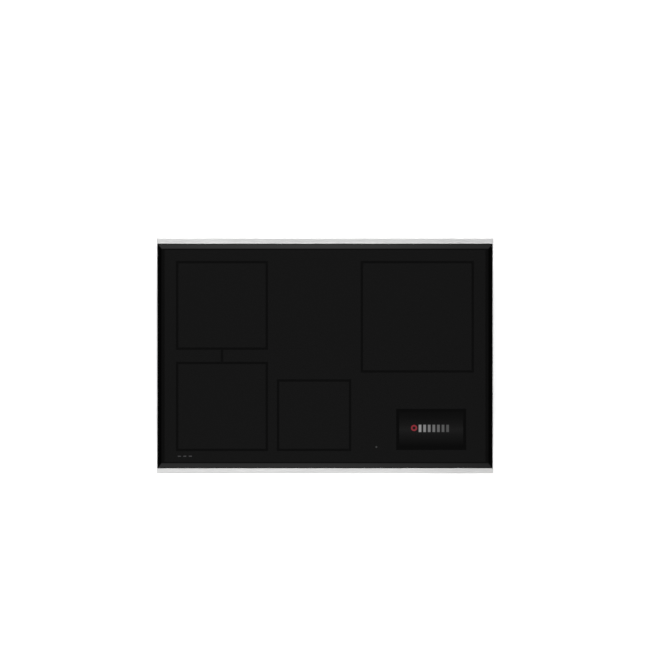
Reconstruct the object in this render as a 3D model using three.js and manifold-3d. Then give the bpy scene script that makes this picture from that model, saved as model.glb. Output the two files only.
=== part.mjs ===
// Framed electric induction cooktop, 30 inches wide, for a worktop cut-out.
// Millimetres, +X right, +Y to the rear, +Z up. The origin is the middle of the burner box's underside.
import * as THREE from "three";
import { ConvexGeometry } from "three/addons/geometries/ConvexGeometry.js";
import { mergeVertices } from "three/addons/utils/BufferGeometryUtils.js";
import Module from "manifold-3d";

// ---- Driving dimensions ----
const WIDTH = 762; // 30 in over the trim
const DEPTH = 533.4; // 21 in over the trim
const HEIGHT = 105; // burner box underside to glass top
const TRIM_RISE = 10; // glass top above the worktop
const SEAT = 0.15; // air left between two pieces that touch

const BAR_WIDTH = 12.3; // front and rear trim bars, seen from above
const BAR_DROP = 0.5; // bar top below glass top
const SIDE_WIDTH = 2.0; // side trims, seen from above
const SIDE_DROP = 1.7; // side trim top below glass top
const EDGE_RADIUS = 0.9; // rounding along the trims
const LEDGE_REACH = 26; // outline to the ledge's inner edge
const LEDGE_THICK = 1.5;

const GLASS_THICK = 5;
const GLASS_GAP = 0.2; // around the glass edge
const BEVEL_FRONT = 11.4; // front and rear bevel width
const BEVEL_SIDE = 8.8;
const BEVEL_DROP = 2;
const ADHESIVE_THICK = 0.8;
const ADHESIVE_WIDTH = 10;
const ADHESIVE_INSET = 3; // glass edge to adhesive
const GASKET_WIDTH = 12;
const GASKET_INSET = 1.5; // outline to gasket

const CUTOUT_OVERLAP = 19; // trim over the worktop
const BOX_GAP = 3; // cut-out edge to burner box
const SHEET = 1.2;
const FLANGE_WIDTH = 8;
const BOSS_RADIUS = 4.5; // pressed-up board supports, open below
const BOSS_HEIGHT = 8;
const BEAD = { width: 9, depth: 1, margin: 34, count: 4 }; // stiffening beads pressed up in the floor
const POCKET = { length: 90, depth: 45, height: 60 }; // conduit pocket at the right rear corner
const ACCESS_SIZE = { length: 85, depth: 42, lip: 6, lipThick: 1.2, screw: 1.4 }; // under the terminals
const ACCESS_GAP = 9; // pocket to access opening
const ACCESS_MARGIN = 8.4; // box outside to access opening

const PLATE_THICK = 1.5; // aluminium coil plate
const COIL_ROOM = 16.5; // glass underside to coil plate
const PLATE_MARGIN = 7.5; // box outside to plate edge
const LEG_WIDTH = 26;

// Cooking zones, each placed by its distances in from the trim's outline: a bridged pair on the left,
// a small one, and a large double one.
const ZONES = [
  { name: "left_rear", ...inFrom({ left: 147.95, rear: 152.3 }), radius: 90 },
  { name: "left_front", ...inFrom({ left: 147.95, front: 152.55 }), radius: 90 },
  { name: "centre_front", ...inFrom({ left: 356.25, front: 132.7 }), radius: 70 },
  { name: "right_rear", ...inFrom({ right: 172.25, rear: 178.1 }), radius: 114 },
];
const COIL_BORE = 22; // winding's inner radius
const WINDING_THICK = 5;
const WINDING_TOP_GAP = 1.5; // winding top to glass
const DOUBLE_COIL = { from: 100, inner: 62, gap: 6 }; // zones from this radius have two windings
const LEAD_SLOT = { length: 20, width: 7, ahead: 8 }; // in the plate, for a coil's two leads
const CARRIER = { thick: 3, past: 2, hubInset: 2, posts: 4, postRadius: 4, postInset: 14 };
const FERRITE = { count: 8, width: 12, thick: 4, hub: 26, hubWidth: 8, overlap: 4, rim: 8 };
const SENSOR = { pad: 8, padThick: 3, stem: 2.5, tail: 6, clearance: 1.5 };
const MICA_THICK = 0.7;
const MICA_MARGIN = 5; // mica past the coil's edge

const AIR_SETBACK = 74.7; // pocket front to the line of blower outlets, heat sinks and exhaust slots
const BLOWER = {
  start: 44,
  end: 60,
  outlet: 40,
  length: 60,
  height: 36,
  wall: 1.5,
  inlet: 33,
};
const IMPELLER = {
  radius: 39,
  blades: 20,
  bladeDepth: 9,
  bladeThick: 0.9,
  height: 24,
  disc: 1.5,
  hub: 18,
  cup: 15,
  clearance: 2,
  cupDepth: 16,
  bladeCurve: 3.2, // how far a blade's tip leans past its root
  rim: 2.5,
};
const SHAFT_RADIUS = 1.5;
const SHAFT_CLEARANCE = 0.08;
const SLOT = { width: 3.6, pitch: 7.6 };
const EXHAUST = { count: 8, height: 34, base: 14 };

const BOARD_THICK = 1.6;
const POWER_SIZE = { length: 215, depth: 330, inset: 8 };
const BOARD_GAP = { wall: 12.8, pocket: 9.7, blower: 4 }; // power board to what stands beside it
const HEAT_SINK = { length: 150, depth: 66, height: 36, base: 6, fin: 1.6, fins: 11 };
const CAPACITOR = { inward: 60, ahead: 165, length: 58, depth: 36, height: 40, radius: 2 };
const FILTER_SIZE = { length: 150, depth: 110, inset: 7 };
const FILTER_AHEAD = 170; // air line to the filter board's middle
const CHOKE = { x: -38, ring: 17, wire: 8 };
const SUPPLY_SIZE = { length: 170, depth: 80, inset: 7 };
const SUPPLY_AT = { x: -20, setback: 96.7 }; // its middle; setback is from the front outline
const TERMINAL = { length: 80, depth: 30, height: 24, ways: 4, rib: 3, well: 9 };
const CONDUIT = { thread: 10.9, bore: 8, flange: 17, body: 14, length: 42 };
const HARNESS_RADIUS = 4;

// The control display under the glass.
const WINDOW = { ...inFrom({ right: 140.85, front: 100.55 }), length: 157.9, depth: 92.7 };
const POWER_KEY = { ...inFrom({ right: 264.6, front: 60.8 }), radius: 4.5 };
const CONTROL_TRAY = { margin: 11.5, height: 9, wall: 2 };

const CLAMP_SETBACK = 91.7; // outline to a clamp's middle, front and rear
const CLAMP = { arm: 20, width: 32, thick: 1.5, plate: 22, armZ: 42, rib: 6 };
const CLAMP_SCREW = {
  radius: 3,
  clearance: 0.25,
  pad: 7,
  padThick: 3,
  head: 6,
  headTop: 18,
  axis: 11,
  top: 55,
};

// A place given by its distances in from the outline's edges.
function inFrom({ left, right, front, rear }) {
  const x = left === undefined ? WIDTH / 2 - right : left - WIDTH / 2;
  const y = front === undefined ? DEPTH / 2 - rear : front - DEPTH / 2;
  return { x, y };
}

// ---- Levels and places that follow from the sizes above ----
const WORKTOP = HEIGHT - TRIM_RISE;
const GLASS_BOTTOM = HEIGHT - GLASS_THICK;
const ADHESIVE_BOTTOM = GLASS_BOTTOM - SEAT - ADHESIVE_THICK;
const LEDGE_TOP = ADHESIVE_BOTTOM - SEAT;
const LEDGE_BOTTOM = LEDGE_TOP - LEDGE_THICK;
const FLANGE_TOP = LEDGE_BOTTOM - SEAT;
const BOARD_Z = SHEET + BOSS_HEIGHT + SEAT;
const PLATE_TOP = GLASS_BOTTOM - COIL_ROOM;
const PLATE_UNDERSIDE = PLATE_TOP - PLATE_THICK;
const WINDING_BOTTOM = GLASS_BOTTOM - WINDING_TOP_GAP - WINDING_THICK;
const CARRIER_TOP = WINDING_BOTTOM - SEAT;
const CARRIER_BOTTOM = CARRIER_TOP - CARRIER.thick;
const BOX = {
  x: WIDTH / 2 - CUTOUT_OVERLAP - BOX_GAP,
  y: DEPTH / 2 - CUTOUT_OVERLAP - BOX_GAP,
};
const GLASS = {
  x: WIDTH / 2 - SIDE_WIDTH - GLASS_GAP,
  y: DEPTH / 2 - BAR_WIDTH - GLASS_GAP,
};
const POCKET_X = BOX.x - POCKET.length; // the pocket's left wall, outside
const POCKET_Y = BOX.y - POCKET.depth; // its front wall, outside
const ACCESS = {
  ...ACCESS_SIZE,
  x: POCKET_X - ACCESS_GAP - ACCESS_SIZE.length / 2,
  y: BOX.y - ACCESS_MARGIN - ACCESS_SIZE.depth / 2,
};
const AIR_LINE_Y = POCKET_Y - AIR_SETBACK;
const POWER_BOARD = {
  ...POWER_SIZE,
  x: BOX.x - SHEET - BOARD_GAP.wall - POWER_SIZE.length / 2,
  y: POCKET_Y - BOARD_GAP.pocket - POWER_SIZE.depth / 2,
};
const POWER_INNER_X = POWER_BOARD.x - POWER_SIZE.length / 2; // the board's edge towards the middle
const FILTER_BOARD = { ...FILTER_SIZE, x: 0, y: AIR_LINE_Y - FILTER_AHEAD };
const SUPPLY_BOARD = { ...SUPPLY_SIZE, x: SUPPLY_AT.x, y: SUPPLY_AT.setback - DEPTH / 2 };

// ---- Materials ----
function paint(color, roughness, metalness) {
  return new THREE.MeshStandardMaterial({ color, roughness, metalness });
}
const MATERIAL = {
  glass: paint(0x101011, 0.06, 0),
  steel: paint(0xc9cacb, 0.3, 1),
  zinc: paint(0xa9adb0, 0.42, 1),
  aluminium: paint(0xb7babd, 0.4, 1),
  copper: paint(0xb06a3a, 0.4, 1),
  ferrite: paint(0x35363a, 0.65, 0),
  silicone: paint(0x161616, 0.7, 0),
  foam: paint(0x2a2a2b, 0.95, 0),
  mica: paint(0xcfc9b8, 0.6, 0),
  board: paint(0x1f5a34, 0.5, 0),
  black: paint(0x1c1c1e, 0.55, 0),
  cream: paint(0xe6e2d4, 0.5, 0),
  grey: paint(0x6d7073, 0.5, 0),
  ceramic: paint(0xeae7df, 0.45, 0),
  blue: paint(0x23477a, 0.4, 0),
};

const wasm = await Module();
wasm.setup();
const cooktop = new THREE.Group();

// ---- Solids ----
function solid(geometry) {
  const bare = geometry.clone();
  bare.deleteAttribute("normal");
  bare.deleteAttribute("uv");
  const merged = mergeVertices(bare, 1e-4);
  const vertProperties = new Float32Array(merged.attributes.position.array);
  const triVerts = new Uint32Array(merged.index.array);
  return new wasm.Manifold(new wasm.Mesh({ numProp: 3, vertProperties, triVerts }));
}

function geometryOf(body) {
  const { vertProperties, triVerts } = body.getMesh();
  const geometry = new THREE.BufferGeometry();
  geometry.setAttribute("position", new THREE.Float32BufferAttribute(vertProperties, 3));
  geometry.setIndex([...triVerts]);
  const flat = geometry.toNonIndexed();
  flat.computeVertexNormals();
  return flat;
}

function addPart(parent, name, body, material) {
  const mesh = new THREE.Mesh(body.isBufferGeometry ? body : geometryOf(body), material);
  mesh.name = name;
  parent.add(mesh);
  return mesh;
}

function placed(x, y, z, turn = 0) {
  const group = new THREE.Group();
  group.position.set(x, y, z);
  group.rotation.z = turn;
  cooktop.add(group);
  return group;
}

function box(x0, x1, y0, y1, z0, z1) {
  const geometry = new THREE.BoxGeometry(x1 - x0, y1 - y0, z1 - z0);
  return solid(geometry.translate((x0 + x1) / 2, (y0 + y1) / 2, (z0 + z1) / 2));
}

function block(x, y, length, depth, z0, z1) {
  return box(x - length / 2, x + length / 2, y - depth / 2, y + depth / 2, z0, z1);
}

function post(x, y, radius, z0, z1, sides = 24) {
  const geometry = new THREE.CylinderGeometry(radius, radius, z1 - z0, sides);
  return solid(geometry.rotateX(Math.PI / 2).translate(x, y, (z0 + z1) / 2));
}

function prism(points, z0, z1) {
  const shape = new THREE.Shape(points.map(([x, y]) => new THREE.Vector2(x, y)));
  return prismOf(shape, z0, z1);
}

function prismOf(shape, z0, z1, curveSegments = 6) {
  const geometry = new THREE.ExtrudeGeometry(shape, { depth: z1 - z0, bevelEnabled: false, curveSegments });
  return solid(geometry.translate(0, 0, z0));
}

// A turned piece: [radius, z] points about the Z axis, closed by the axis or by meeting its start.
function turned(points, sides = 28) {
  const profile = points.map(([r, z]) => new THREE.Vector2(r, z));
  return solid(new THREE.LatheGeometry(profile, sides).rotateX(Math.PI / 2));
}

// A rectangular ring, such as a gasket, between two half sizes.
function ring(halfX, halfY, width, z0, z1) {
  const hole = block(0, 0, 2 * (halfX - width), 2 * (halfY - width), z0 - 1, z1 + 1);
  return block(0, 0, 2 * halfX, 2 * halfY, z0, z1).subtract(hole);
}

// ---- Top: glass, trims, adhesive, gasket ----
function glassPanel() {
  const signs = [-1, 1].flatMap((i) => [-1, 1].map((j) => [i, j]));
  const rectangle = (x, y, z) => signs.map(([i, j]) => new THREE.Vector3(i * x, j * y, z));
  return new ConvexGeometry([
    ...rectangle(GLASS.x, GLASS.y, GLASS_BOTTOM),
    ...rectangle(GLASS.x, GLASS.y, HEIGHT - BEVEL_DROP),
    ...rectangle(GLASS.x - BEVEL_SIDE, GLASS.y - BEVEL_FRONT, HEIGHT),
  ]);
}

// Upright section of a trim, with both top edges rounded: u runs inwards from the outline.
function trimProfile(width, top, outline, side) {
  const at = (u) => side * (outline - u);
  const shape = new THREE.Shape();
  const round = Math.min(EDGE_RADIUS, width / 2.5);
  shape.moveTo(at(0), LEDGE_BOTTOM);
  shape.lineTo(at(0), top - round);
  shape.quadraticCurveTo(at(0), top, at(round), top);
  shape.lineTo(at(width - round), top);
  shape.quadraticCurveTo(at(width), top, at(width), top - round);
  shape.lineTo(at(width), LEDGE_BOTTOM);
  return shape;
}

// A straight ledge starts a little inside its trim, so that the two join.
const LEDGE_BITE = 0.8;

function trimBar(side) {
  const profile = trimProfile(BAR_WIDTH, HEIGHT - BAR_DROP, DEPTH / 2, side);
  const bar = new THREE.ExtrudeGeometry(profile, { depth: WIDTH, bevelEnabled: false, curveSegments: 4 });
  const axes = [new THREE.Vector3(0, 1, 0), new THREE.Vector3(0, 0, 1), new THREE.Vector3(1, 0, 0)];
  bar.applyMatrix4(new THREE.Matrix4().makeBasis(...axes)).translate(-WIDTH / 2, 0, 0);
  const halfLedge = WIDTH / 2 - SIDE_WIDTH - SEAT;
  const y = (side * (DEPTH - BAR_WIDTH + LEDGE_BITE - LEDGE_REACH)) / 2;
  const ledge = block(0, y, 2 * halfLedge, LEDGE_REACH - BAR_WIDTH + LEDGE_BITE, LEDGE_BOTTOM, LEDGE_TOP);
  return solid(bar).add(ledge);
}

function sideTrim(side) {
  const length = DEPTH - 2 * (BAR_WIDTH + SEAT);
  const profile = trimProfile(SIDE_WIDTH, HEIGHT - SIDE_DROP, WIDTH / 2, side);
  const rail = new THREE.ExtrudeGeometry(profile, { depth: length, bevelEnabled: false, curveSegments: 4 });
  const axes = [new THREE.Vector3(1, 0, 0), new THREE.Vector3(0, 0, 1), new THREE.Vector3(0, -1, 0)];
  rail.applyMatrix4(new THREE.Matrix4().makeBasis(...axes)).translate(0, length / 2, 0);
  const x = (side * (WIDTH - SIDE_WIDTH + LEDGE_BITE - LEDGE_REACH)) / 2;
  const ledgeDepth = DEPTH - 2 * (LEDGE_REACH + SEAT);
  const ledge = block(x, 0, LEDGE_REACH - SIDE_WIDTH + LEDGE_BITE, ledgeDepth, LEDGE_BOTTOM, LEDGE_TOP);
  return solid(rail).add(ledge);
}

function addTop() {
  addPart(cooktop, "glass_panel", glassPanel(), MATERIAL.glass);
  addPart(cooktop, "rear_trim", trimBar(1), MATERIAL.steel);
  addPart(cooktop, "front_trim", trimBar(-1), MATERIAL.steel);
  addPart(cooktop, "left_trim", sideTrim(-1), MATERIAL.steel);
  addPart(cooktop, "right_trim", sideTrim(1), MATERIAL.steel);
  const halfX = GLASS.x - ADHESIVE_INSET;
  const halfY = GLASS.y - ADHESIVE_INSET;
  const adhesive = ring(halfX, halfY, ADHESIVE_WIDTH, ADHESIVE_BOTTOM, GLASS_BOTTOM - SEAT);
  addPart(cooktop, "glass_adhesive", adhesive, MATERIAL.silicone);
  const gasketX = WIDTH / 2 - GASKET_INSET;
  const gasketY = DEPTH / 2 - GASKET_INSET;
  const gasket = ring(gasketX, gasketY, GASKET_WIDTH, WORKTOP, FLANGE_TOP);
  addPart(cooktop, "worktop_gasket", gasket, MATERIAL.foam);
}

// ---- Burner box ----
// Parallel slots along X inside a circle, for a blower's air inlet.
function inletSlots(x, y) {
  const rows = Math.floor((BLOWER.inlet - SLOT.width) / SLOT.pitch);
  const slots = [];
  for (let row = -rows; row <= rows; row++) {
    const half = Math.sqrt(BLOWER.inlet ** 2 - (Math.abs(row) * SLOT.pitch + SLOT.width / 2) ** 2);
    slots.push(block(x, y + row * SLOT.pitch, 2 * half, SLOT.width, -1, SHEET + 1));
  }
  return slots;
}

function exhaustSlots(side) {
  const slots = [];
  for (let i = 0; i < EXHAUST.count; i++) {
    const y = AIR_LINE_Y + (i - (EXHAUST.count - 1) / 2) * SLOT.pitch;
    slots.push(block(side * BOX.x, y, 6 * SHEET, SLOT.width, EXHAUST.base, EXHAUST.base + EXHAUST.height));
  }
  return slots;
}

function boardCorners(board) {
  const dx = board.length / 2 - board.inset;
  const dy = board.depth / 2 - board.inset;
  return [-1, 1].flatMap((i) => [-1, 1].map((j) => [board.x + i * dx, board.y + j * dy]));
}

// Each blower blows outwards along the air line, onto its power board's heat sink.
function blowerCentres() {
  const offset = BLOWER.end - BLOWER.outlet / 2;
  const x = POWER_INNER_X - BOARD_GAP.blower - BLOWER.length;
  return [
    { name: "right", x, y: AIR_LINE_Y + offset, turn: 0 },
    { name: "left", x: -x, y: AIR_LINE_Y - offset, turn: Math.PI },
  ];
}

function burnerBox() {
  const flangeX = BOX.x + FLANGE_WIDTH;
  const flangeY = BOX.y + FLANGE_WIDTH;
  const pocket = (grow, z) => box(POCKET_X - grow, BOX.x + 1, POCKET_Y - grow, BOX.y + 1, -1, z);
  let body = block(0, 0, 2 * BOX.x, 2 * BOX.y, 0, FLANGE_TOP)
    .add(block(0, 0, 2 * flangeX, 2 * flangeY, FLANGE_TOP - SHEET, FLANGE_TOP))
    .subtract(pocket(0, POCKET.height));
  const hollow = block(0, 0, 2 * (BOX.x - SHEET), 2 * (BOX.y - SHEET), SHEET, FLANGE_TOP + 1);
  body = body.subtract(hollow.subtract(pocket(SHEET, POCKET.height + SHEET)));

  const lipLength = ACCESS.length + 2 * ACCESS.lip;
  const lipDepth = ACCESS.depth + 2 * ACCESS.lip;
  const cuts = [
    block(ACCESS.x, ACCESS.y, ACCESS.length, ACCESS.depth, -1, SHEET + SEAT),
    block(ACCESS.x, ACCESS.y, ACCESS.length - 2 * ACCESS.lip, ACCESS.depth - 2 * ACCESS.lip, -1, SHEET + 9),
    conduitHole(),
    ...exhaustSlots(1),
    ...exhaustSlots(-1),
    ...blowerCentres().flatMap(({ x, y }) => inletSlots(x, y)),
  ];
  body = body.add(block(ACCESS.x, ACCESS.y, lipLength, lipDepth, SHEET / 2, SHEET + ACCESS.lipThick));
  for (const cut of cuts) body = body.subtract(cut);

  const boards = [POWER_BOARD, { ...POWER_BOARD, x: -POWER_BOARD.x }, FILTER_BOARD, SUPPLY_BOARD];
  for (const [x, y] of boards.flatMap(boardCorners)) {
    body = body.add(post(x, y, BOSS_RADIUS, SHEET / 2, SHEET + BOSS_HEIGHT, 14));
    body = body.subtract(post(x, y, BOSS_RADIUS - SHEET, -1, BOSS_HEIGHT, 14));
  }
  for (const bead of floorBeads()) body = body.add(bead.rise).subtract(bead.groove);
  return body;
}

// Beads along Y at the front of the floor: a groove from below, with the sheet standing up over it.
function floorBeads() {
  const front = -BOX.y + BEAD.margin;
  const rear = FILTER_BOARD.y - FILTER_BOARD.depth / 2 + POWER_BOARD.inset;
  const span = 2 * (BOX.x - BEAD.margin);
  const beads = [];
  for (let i = 0; i < BEAD.count; i++) {
    const x = (i / (BEAD.count - 1) - 0.5) * span;
    const { width, depth } = BEAD;
    beads.push({
      rise: beadSolid(x, front, rear, width, SHEET / 2, SHEET + depth),
      groove: beadSolid(x, front, rear, width - SHEET, -1, depth),
    });
  }
  return beads;
}

// A long bar with round ends.
function beadSolid(x, front, rear, width, z0, z1) {
  const shape = new THREE.Shape();
  shape.absarc(x, rear - width / 2, width / 2, 0, Math.PI);
  shape.absarc(x, front + width / 2, width / 2, Math.PI, 2 * Math.PI);
  shape.closePath();
  return prismOf(shape, z0, z1, 6);
}

// The connector's place: the middle of the pocket's left wall.
const CONDUIT_AT = [POCKET_X, BOX.y - POCKET.depth / 2, POCKET.height / 2];

function conduitHole() {
  const radius = CONDUIT.thread + 2 * SEAT;
  const geometry = new THREE.CylinderGeometry(radius, radius, 8 * SHEET, 24);
  return solid(geometry.rotateZ(Math.PI / 2).translate(...CONDUIT_AT));
}

function addBurnerBox() {
  addPart(cooktop, "burner_box", burnerBox(), MATERIAL.zinc);
  const length = ACCESS.length - 4 * SEAT;
  const depth = ACCESS.depth - 4 * SEAT;
  let cover = block(ACCESS.x, ACCESS.y, length, depth, 0, SHEET);
  for (const side of [-1, 1]) {
    const x = ACCESS.x + side * (length / 2 - ACCESS.lip / 2);
    cover = cover.subtract(post(x, ACCESS.y, ACCESS.screw, -1, SHEET + 1, 12));
  }
  addPart(cooktop, "junction_cover", cover, MATERIAL.zinc);
}

// ---- Coil plate and the cooking coils ----
function coilPlate() {
  const halfX = BOX.x - PLATE_MARGIN;
  const halfY = BOX.y - PLATE_MARGIN;
  let plate = block(0, 0, 2 * halfX, 2 * halfY, PLATE_UNDERSIDE, PLATE_TOP);
  for (const side of [-1, 1]) {
    for (const y of [-halfY + LEG_WIDTH, AIR_LINE_Y - EXHAUST.count * SLOT.pitch]) {
      const x = side * (halfX - PLATE_THICK / 2);
      plate = plate.add(block(x, y, PLATE_THICK, LEG_WIDTH, SHEET + SEAT, PLATE_UNDERSIDE + 1));
    }
  }
  for (const { x, y, radius } of ZONES) {
    const hole = post(x, y, SENSOR.pad + SENSOR.clearance, PLATE_UNDERSIDE - 1, PLATE_TOP + 1, 20);
    plate = plate.subtract(hole);
    const slotY = y - radius - LEAD_SLOT.ahead;
    const slot = block(x, slotY, LEAD_SLOT.length, LEAD_SLOT.width, PLATE_UNDERSIDE - 1, PLATE_TOP + 1);
    plate = plate.subtract(slot);
  }
  return plate;
}

function winding(inner, outer) {
  return turned([
    [inner, 0],
    [outer, 0],
    [outer, WINDING_THICK],
    [inner, WINDING_THICK],
    [inner, 0],
  ], 40);
}

function coilCarrier(radius) {
  const edge = radius + CARRIER.past;
  let carrier = post(0, 0, edge, CARRIER_BOTTOM, CARRIER_TOP, 40);
  const hubOuter = COIL_BORE - CARRIER.hubInset;
  const hubInner = SENSOR.pad + SENSOR.clearance;
  carrier = carrier.add(post(0, 0, hubOuter, CARRIER_TOP - 0.5, CARRIER_TOP + WINDING_THICK, 24));
  for (let i = 0; i < CARRIER.posts; i++) {
    const angle = ((i + 0.25) * 2 * Math.PI) / CARRIER.posts;
    const x = Math.cos(angle) * (radius - CARRIER.postInset);
    const y = Math.sin(angle) * (radius - CARRIER.postInset);
    carrier = carrier.add(post(x, y, CARRIER.postRadius, PLATE_TOP + SEAT, CARRIER_BOTTOM + 0.5, 12));
  }
  return carrier.subtract(post(0, 0, hubInner, CARRIER_BOTTOM - 9, CARRIER_TOP + WINDING_THICK + 1, 24));
}

// Ferrite bars under the coil, held by a thin ring at the hub.
function ferriteStar(radius) {
  const top = CARRIER_BOTTOM - SEAT;
  let star = post(0, 0, FERRITE.hub, top - FERRITE.thick, top, 32);
  const start = FERRITE.hub - FERRITE.overlap;
  const reach = radius - FERRITE.rim;
  for (let i = 0; i < FERRITE.count; i++) {
    const bar = block((start + reach) / 2, 0, reach - start, FERRITE.width, top - FERRITE.thick, top);
    star = star.add(bar.rotate([0, 0, (360 * i) / FERRITE.count]));
  }
  return star.subtract(post(0, 0, FERRITE.hub - FERRITE.hubWidth, top - FERRITE.thick - 1, top + 1, 24));
}

function heatSensor() {
  const top = GLASS_BOTTOM - SEAT;
  const low = PLATE_TOP - SENSOR.tail;
  return turned([
    [0, low],
    [SENSOR.stem, low],
    [SENSOR.stem, top - SENSOR.padThick],
    [SENSOR.pad, top - SENSOR.padThick],
    [SENSOR.pad, top],
    [0, top],
  ], 20);
}

function micaSheet(zones) {
  const low = WINDING_BOTTOM + WINDING_THICK + SEAT;
  const left = Math.min(...zones.map((z) => z.x - z.radius)) - MICA_MARGIN;
  const right = Math.max(...zones.map((z) => z.x + z.radius)) + MICA_MARGIN;
  const front = Math.min(...zones.map((z) => z.y - z.radius)) - MICA_MARGIN;
  const rear = Math.max(...zones.map((z) => z.y + z.radius)) + MICA_MARGIN;
  let sheet = box(left, right, front, rear, low, low + MICA_THICK);
  for (const { x, y } of zones) {
    sheet = sheet.subtract(post(x, y, SENSOR.pad + SENSOR.clearance, low - 1, low + 2, 20));
  }
  return sheet;
}

function addCoils() {
  addPart(cooktop, "coil_plate", coilPlate(), MATERIAL.aluminium);
  for (const zone of ZONES) {
    const coil = placed(zone.x, zone.y, 0);
    const double = zone.radius >= DOUBLE_COIL.from;
    const inner = double ? DOUBLE_COIL.inner + DOUBLE_COIL.gap : COIL_BORE;
    const outer = addPart(coil, `coil_winding_${zone.name}`, winding(inner, zone.radius), MATERIAL.copper);
    outer.position.z = WINDING_BOTTOM;
    if (double) {
      const core = winding(COIL_BORE, DOUBLE_COIL.inner);
      addPart(coil, `coil_winding_${zone.name}_inner`, core, MATERIAL.copper).position.z = WINDING_BOTTOM;
    }
    addPart(coil, `coil_carrier_${zone.name}`, coilCarrier(zone.radius), MATERIAL.cream);
    addPart(coil, `ferrite_star_${zone.name}`, ferriteStar(zone.radius), MATERIAL.ferrite);
    addPart(coil, `heat_sensor_${zone.name}`, heatSensor(), MATERIAL.ceramic);
  }
  addPart(cooktop, "mica_sheet_left", micaSheet(ZONES.slice(0, 2)), MATERIAL.mica);
  addPart(cooktop, "mica_sheet_centre", micaSheet(ZONES.slice(2, 3)), MATERIAL.mica);
  addPart(cooktop, "mica_sheet_right", micaSheet(ZONES.slice(3)), MATERIAL.mica);
}

// ---- Blowers: scroll housing, motor and impeller about a vertical shaft ----
// Spiral from the tongue, anticlockwise to the outlet, then straight along +X.
function scrollOutline(wall, outletEnd) {
  const low = -(BLOWER.end + wall);
  const high = -BLOWER.end + BLOWER.outlet + wall;
  const tongue = Math.asin(high / (BLOWER.start + wall));
  const sweep = Math.PI * 1.5 - tongue;
  const points = [];
  for (let i = 0; i <= 30; i++) {
    const angle = tongue + (sweep * i) / 30;
    const radius = BLOWER.start + wall + ((BLOWER.end - BLOWER.start) * i) / 30;
    points.push([Math.cos(angle) * radius, Math.sin(angle) * radius]);
  }
  return [...points, [outletEnd, low], [outletEnd, high]];
}

function blowerHousing() {
  const shell = prism(scrollOutline(BLOWER.wall, BLOWER.length), 0, BLOWER.height);
  const air = prism(scrollOutline(0, BLOWER.length + 5), BLOWER.wall, BLOWER.height - BLOWER.wall);
  return shell.subtract(air).subtract(post(0, 0, BLOWER.inlet, -1, BLOWER.wall + 1, 32));
}

// Rotor levels inside the housing, measured down from the cover.
const ROTOR_TOP = BLOWER.height - BLOWER.wall - IMPELLER.clearance;
const ROTOR_LOW = ROTOR_TOP - IMPELLER.height;
const CUP_LOW = ROTOR_TOP - IMPELLER.cupDepth;

function blowerMotor() {
  const top = BLOWER.height - BLOWER.wall - SEAT;
  const stator = IMPELLER.cup - 1;
  const low = CUP_LOW + IMPELLER.disc + 2;
  return turned([
    [0, CUP_LOW + 0.5],
    [SHAFT_RADIUS, CUP_LOW + 0.5],
    [SHAFT_RADIUS, low],
    [stator, low],
    [stator, top],
    [0, top],
  ], 16);
}

function impeller() {
  const { radius, hub, cup, disc } = IMPELLER;
  const bore = SHAFT_RADIUS + SHAFT_CLEARANCE;
  let body = turned([
    [bore, CUP_LOW],
    [hub, CUP_LOW],
    [hub, ROTOR_TOP - disc],
    [radius, ROTOR_TOP - disc],
    [radius, ROTOR_TOP],
    [cup, ROTOR_TOP],
    [cup, CUP_LOW + disc],
    [bore, CUP_LOW + disc],
    [bore, CUP_LOW],
  ], 32);
  for (let i = 0; i < IMPELLER.blades; i++) {
    body = body.add(impellerBlade().rotate([0, 0, (360 * i) / IMPELLER.blades]));
  }
  const rim = post(0, 0, radius, ROTOR_LOW, ROTOR_LOW + disc, 32);
  return body.add(rim.subtract(post(0, 0, radius - IMPELLER.rim, ROTOR_LOW - 1, ROTOR_LOW + disc + 1, 32)));
}

// One forward-curved blade, an arc in plan.
function impellerBlade() {
  const { radius, bladeDepth, bladeThick, bladeCurve, disc } = IMPELLER;
  const edge = (offset) => [0, 0.5, 1].map((t) => {
    const r = radius - 0.8 - bladeDepth * (1 - t);
    return [r, bladeCurve * t * t + offset];
  });
  const outline = [...edge(-bladeThick / 2), ...edge(bladeThick / 2).reverse()];
  return prism(outline, ROTOR_LOW + 0.3, ROTOR_TOP - disc / 2);
}

function addBlowers() {
  for (const { name, x, y, turn } of blowerCentres()) {
    const blower = placed(x, y, SHEET + SEAT, turn);
    addPart(blower, `blower_housing_${name}`, blowerHousing(), MATERIAL.black);
    addPart(blower, `blower_motor_${name}`, blowerMotor(), MATERIAL.zinc);
    addPart(blower, `blower_impeller_${name}`, impeller(), MATERIAL.grey);
  }
}

// ---- Power electronics ----
const boardBody = (board) =>
  block(board.x, board.y, board.length, board.depth, BOARD_Z, BOARD_Z + BOARD_THICK);

// Comb section, extruded along the air line.
function heatSink() {
  const { length, depth, height, base, fin, fins } = HEAT_SINK;
  let body = box(0, length, -depth / 2, depth / 2, 0, base);
  for (let i = 0; i < fins; i++) {
    const y = (i / (fins - 1) - 0.5) * (depth - fin);
    body = body.add(box(0, length, y - fin / 2, y + fin / 2, base - 1, height));
  }
  return body;
}

function filmCapacitor() {
  const { length, depth, height, radius } = CAPACITOR;
  const [x, y] = [length / 2, depth / 2];
  const shape = new THREE.Shape();
  shape.moveTo(-x + radius, -y);
  shape.lineTo(x - radius, -y);
  shape.quadraticCurveTo(x, -y, x, -y + radius);
  shape.lineTo(x, y - radius);
  shape.quadraticCurveTo(x, y, x - radius, y);
  shape.lineTo(-x + radius, y);
  shape.quadraticCurveTo(-x, y, -x, y - radius);
  shape.lineTo(-x, -y + radius);
  shape.quadraticCurveTo(-x, -y, -x + radius, -y);
  return prismOf(shape, 0, height, 3);
}

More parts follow.
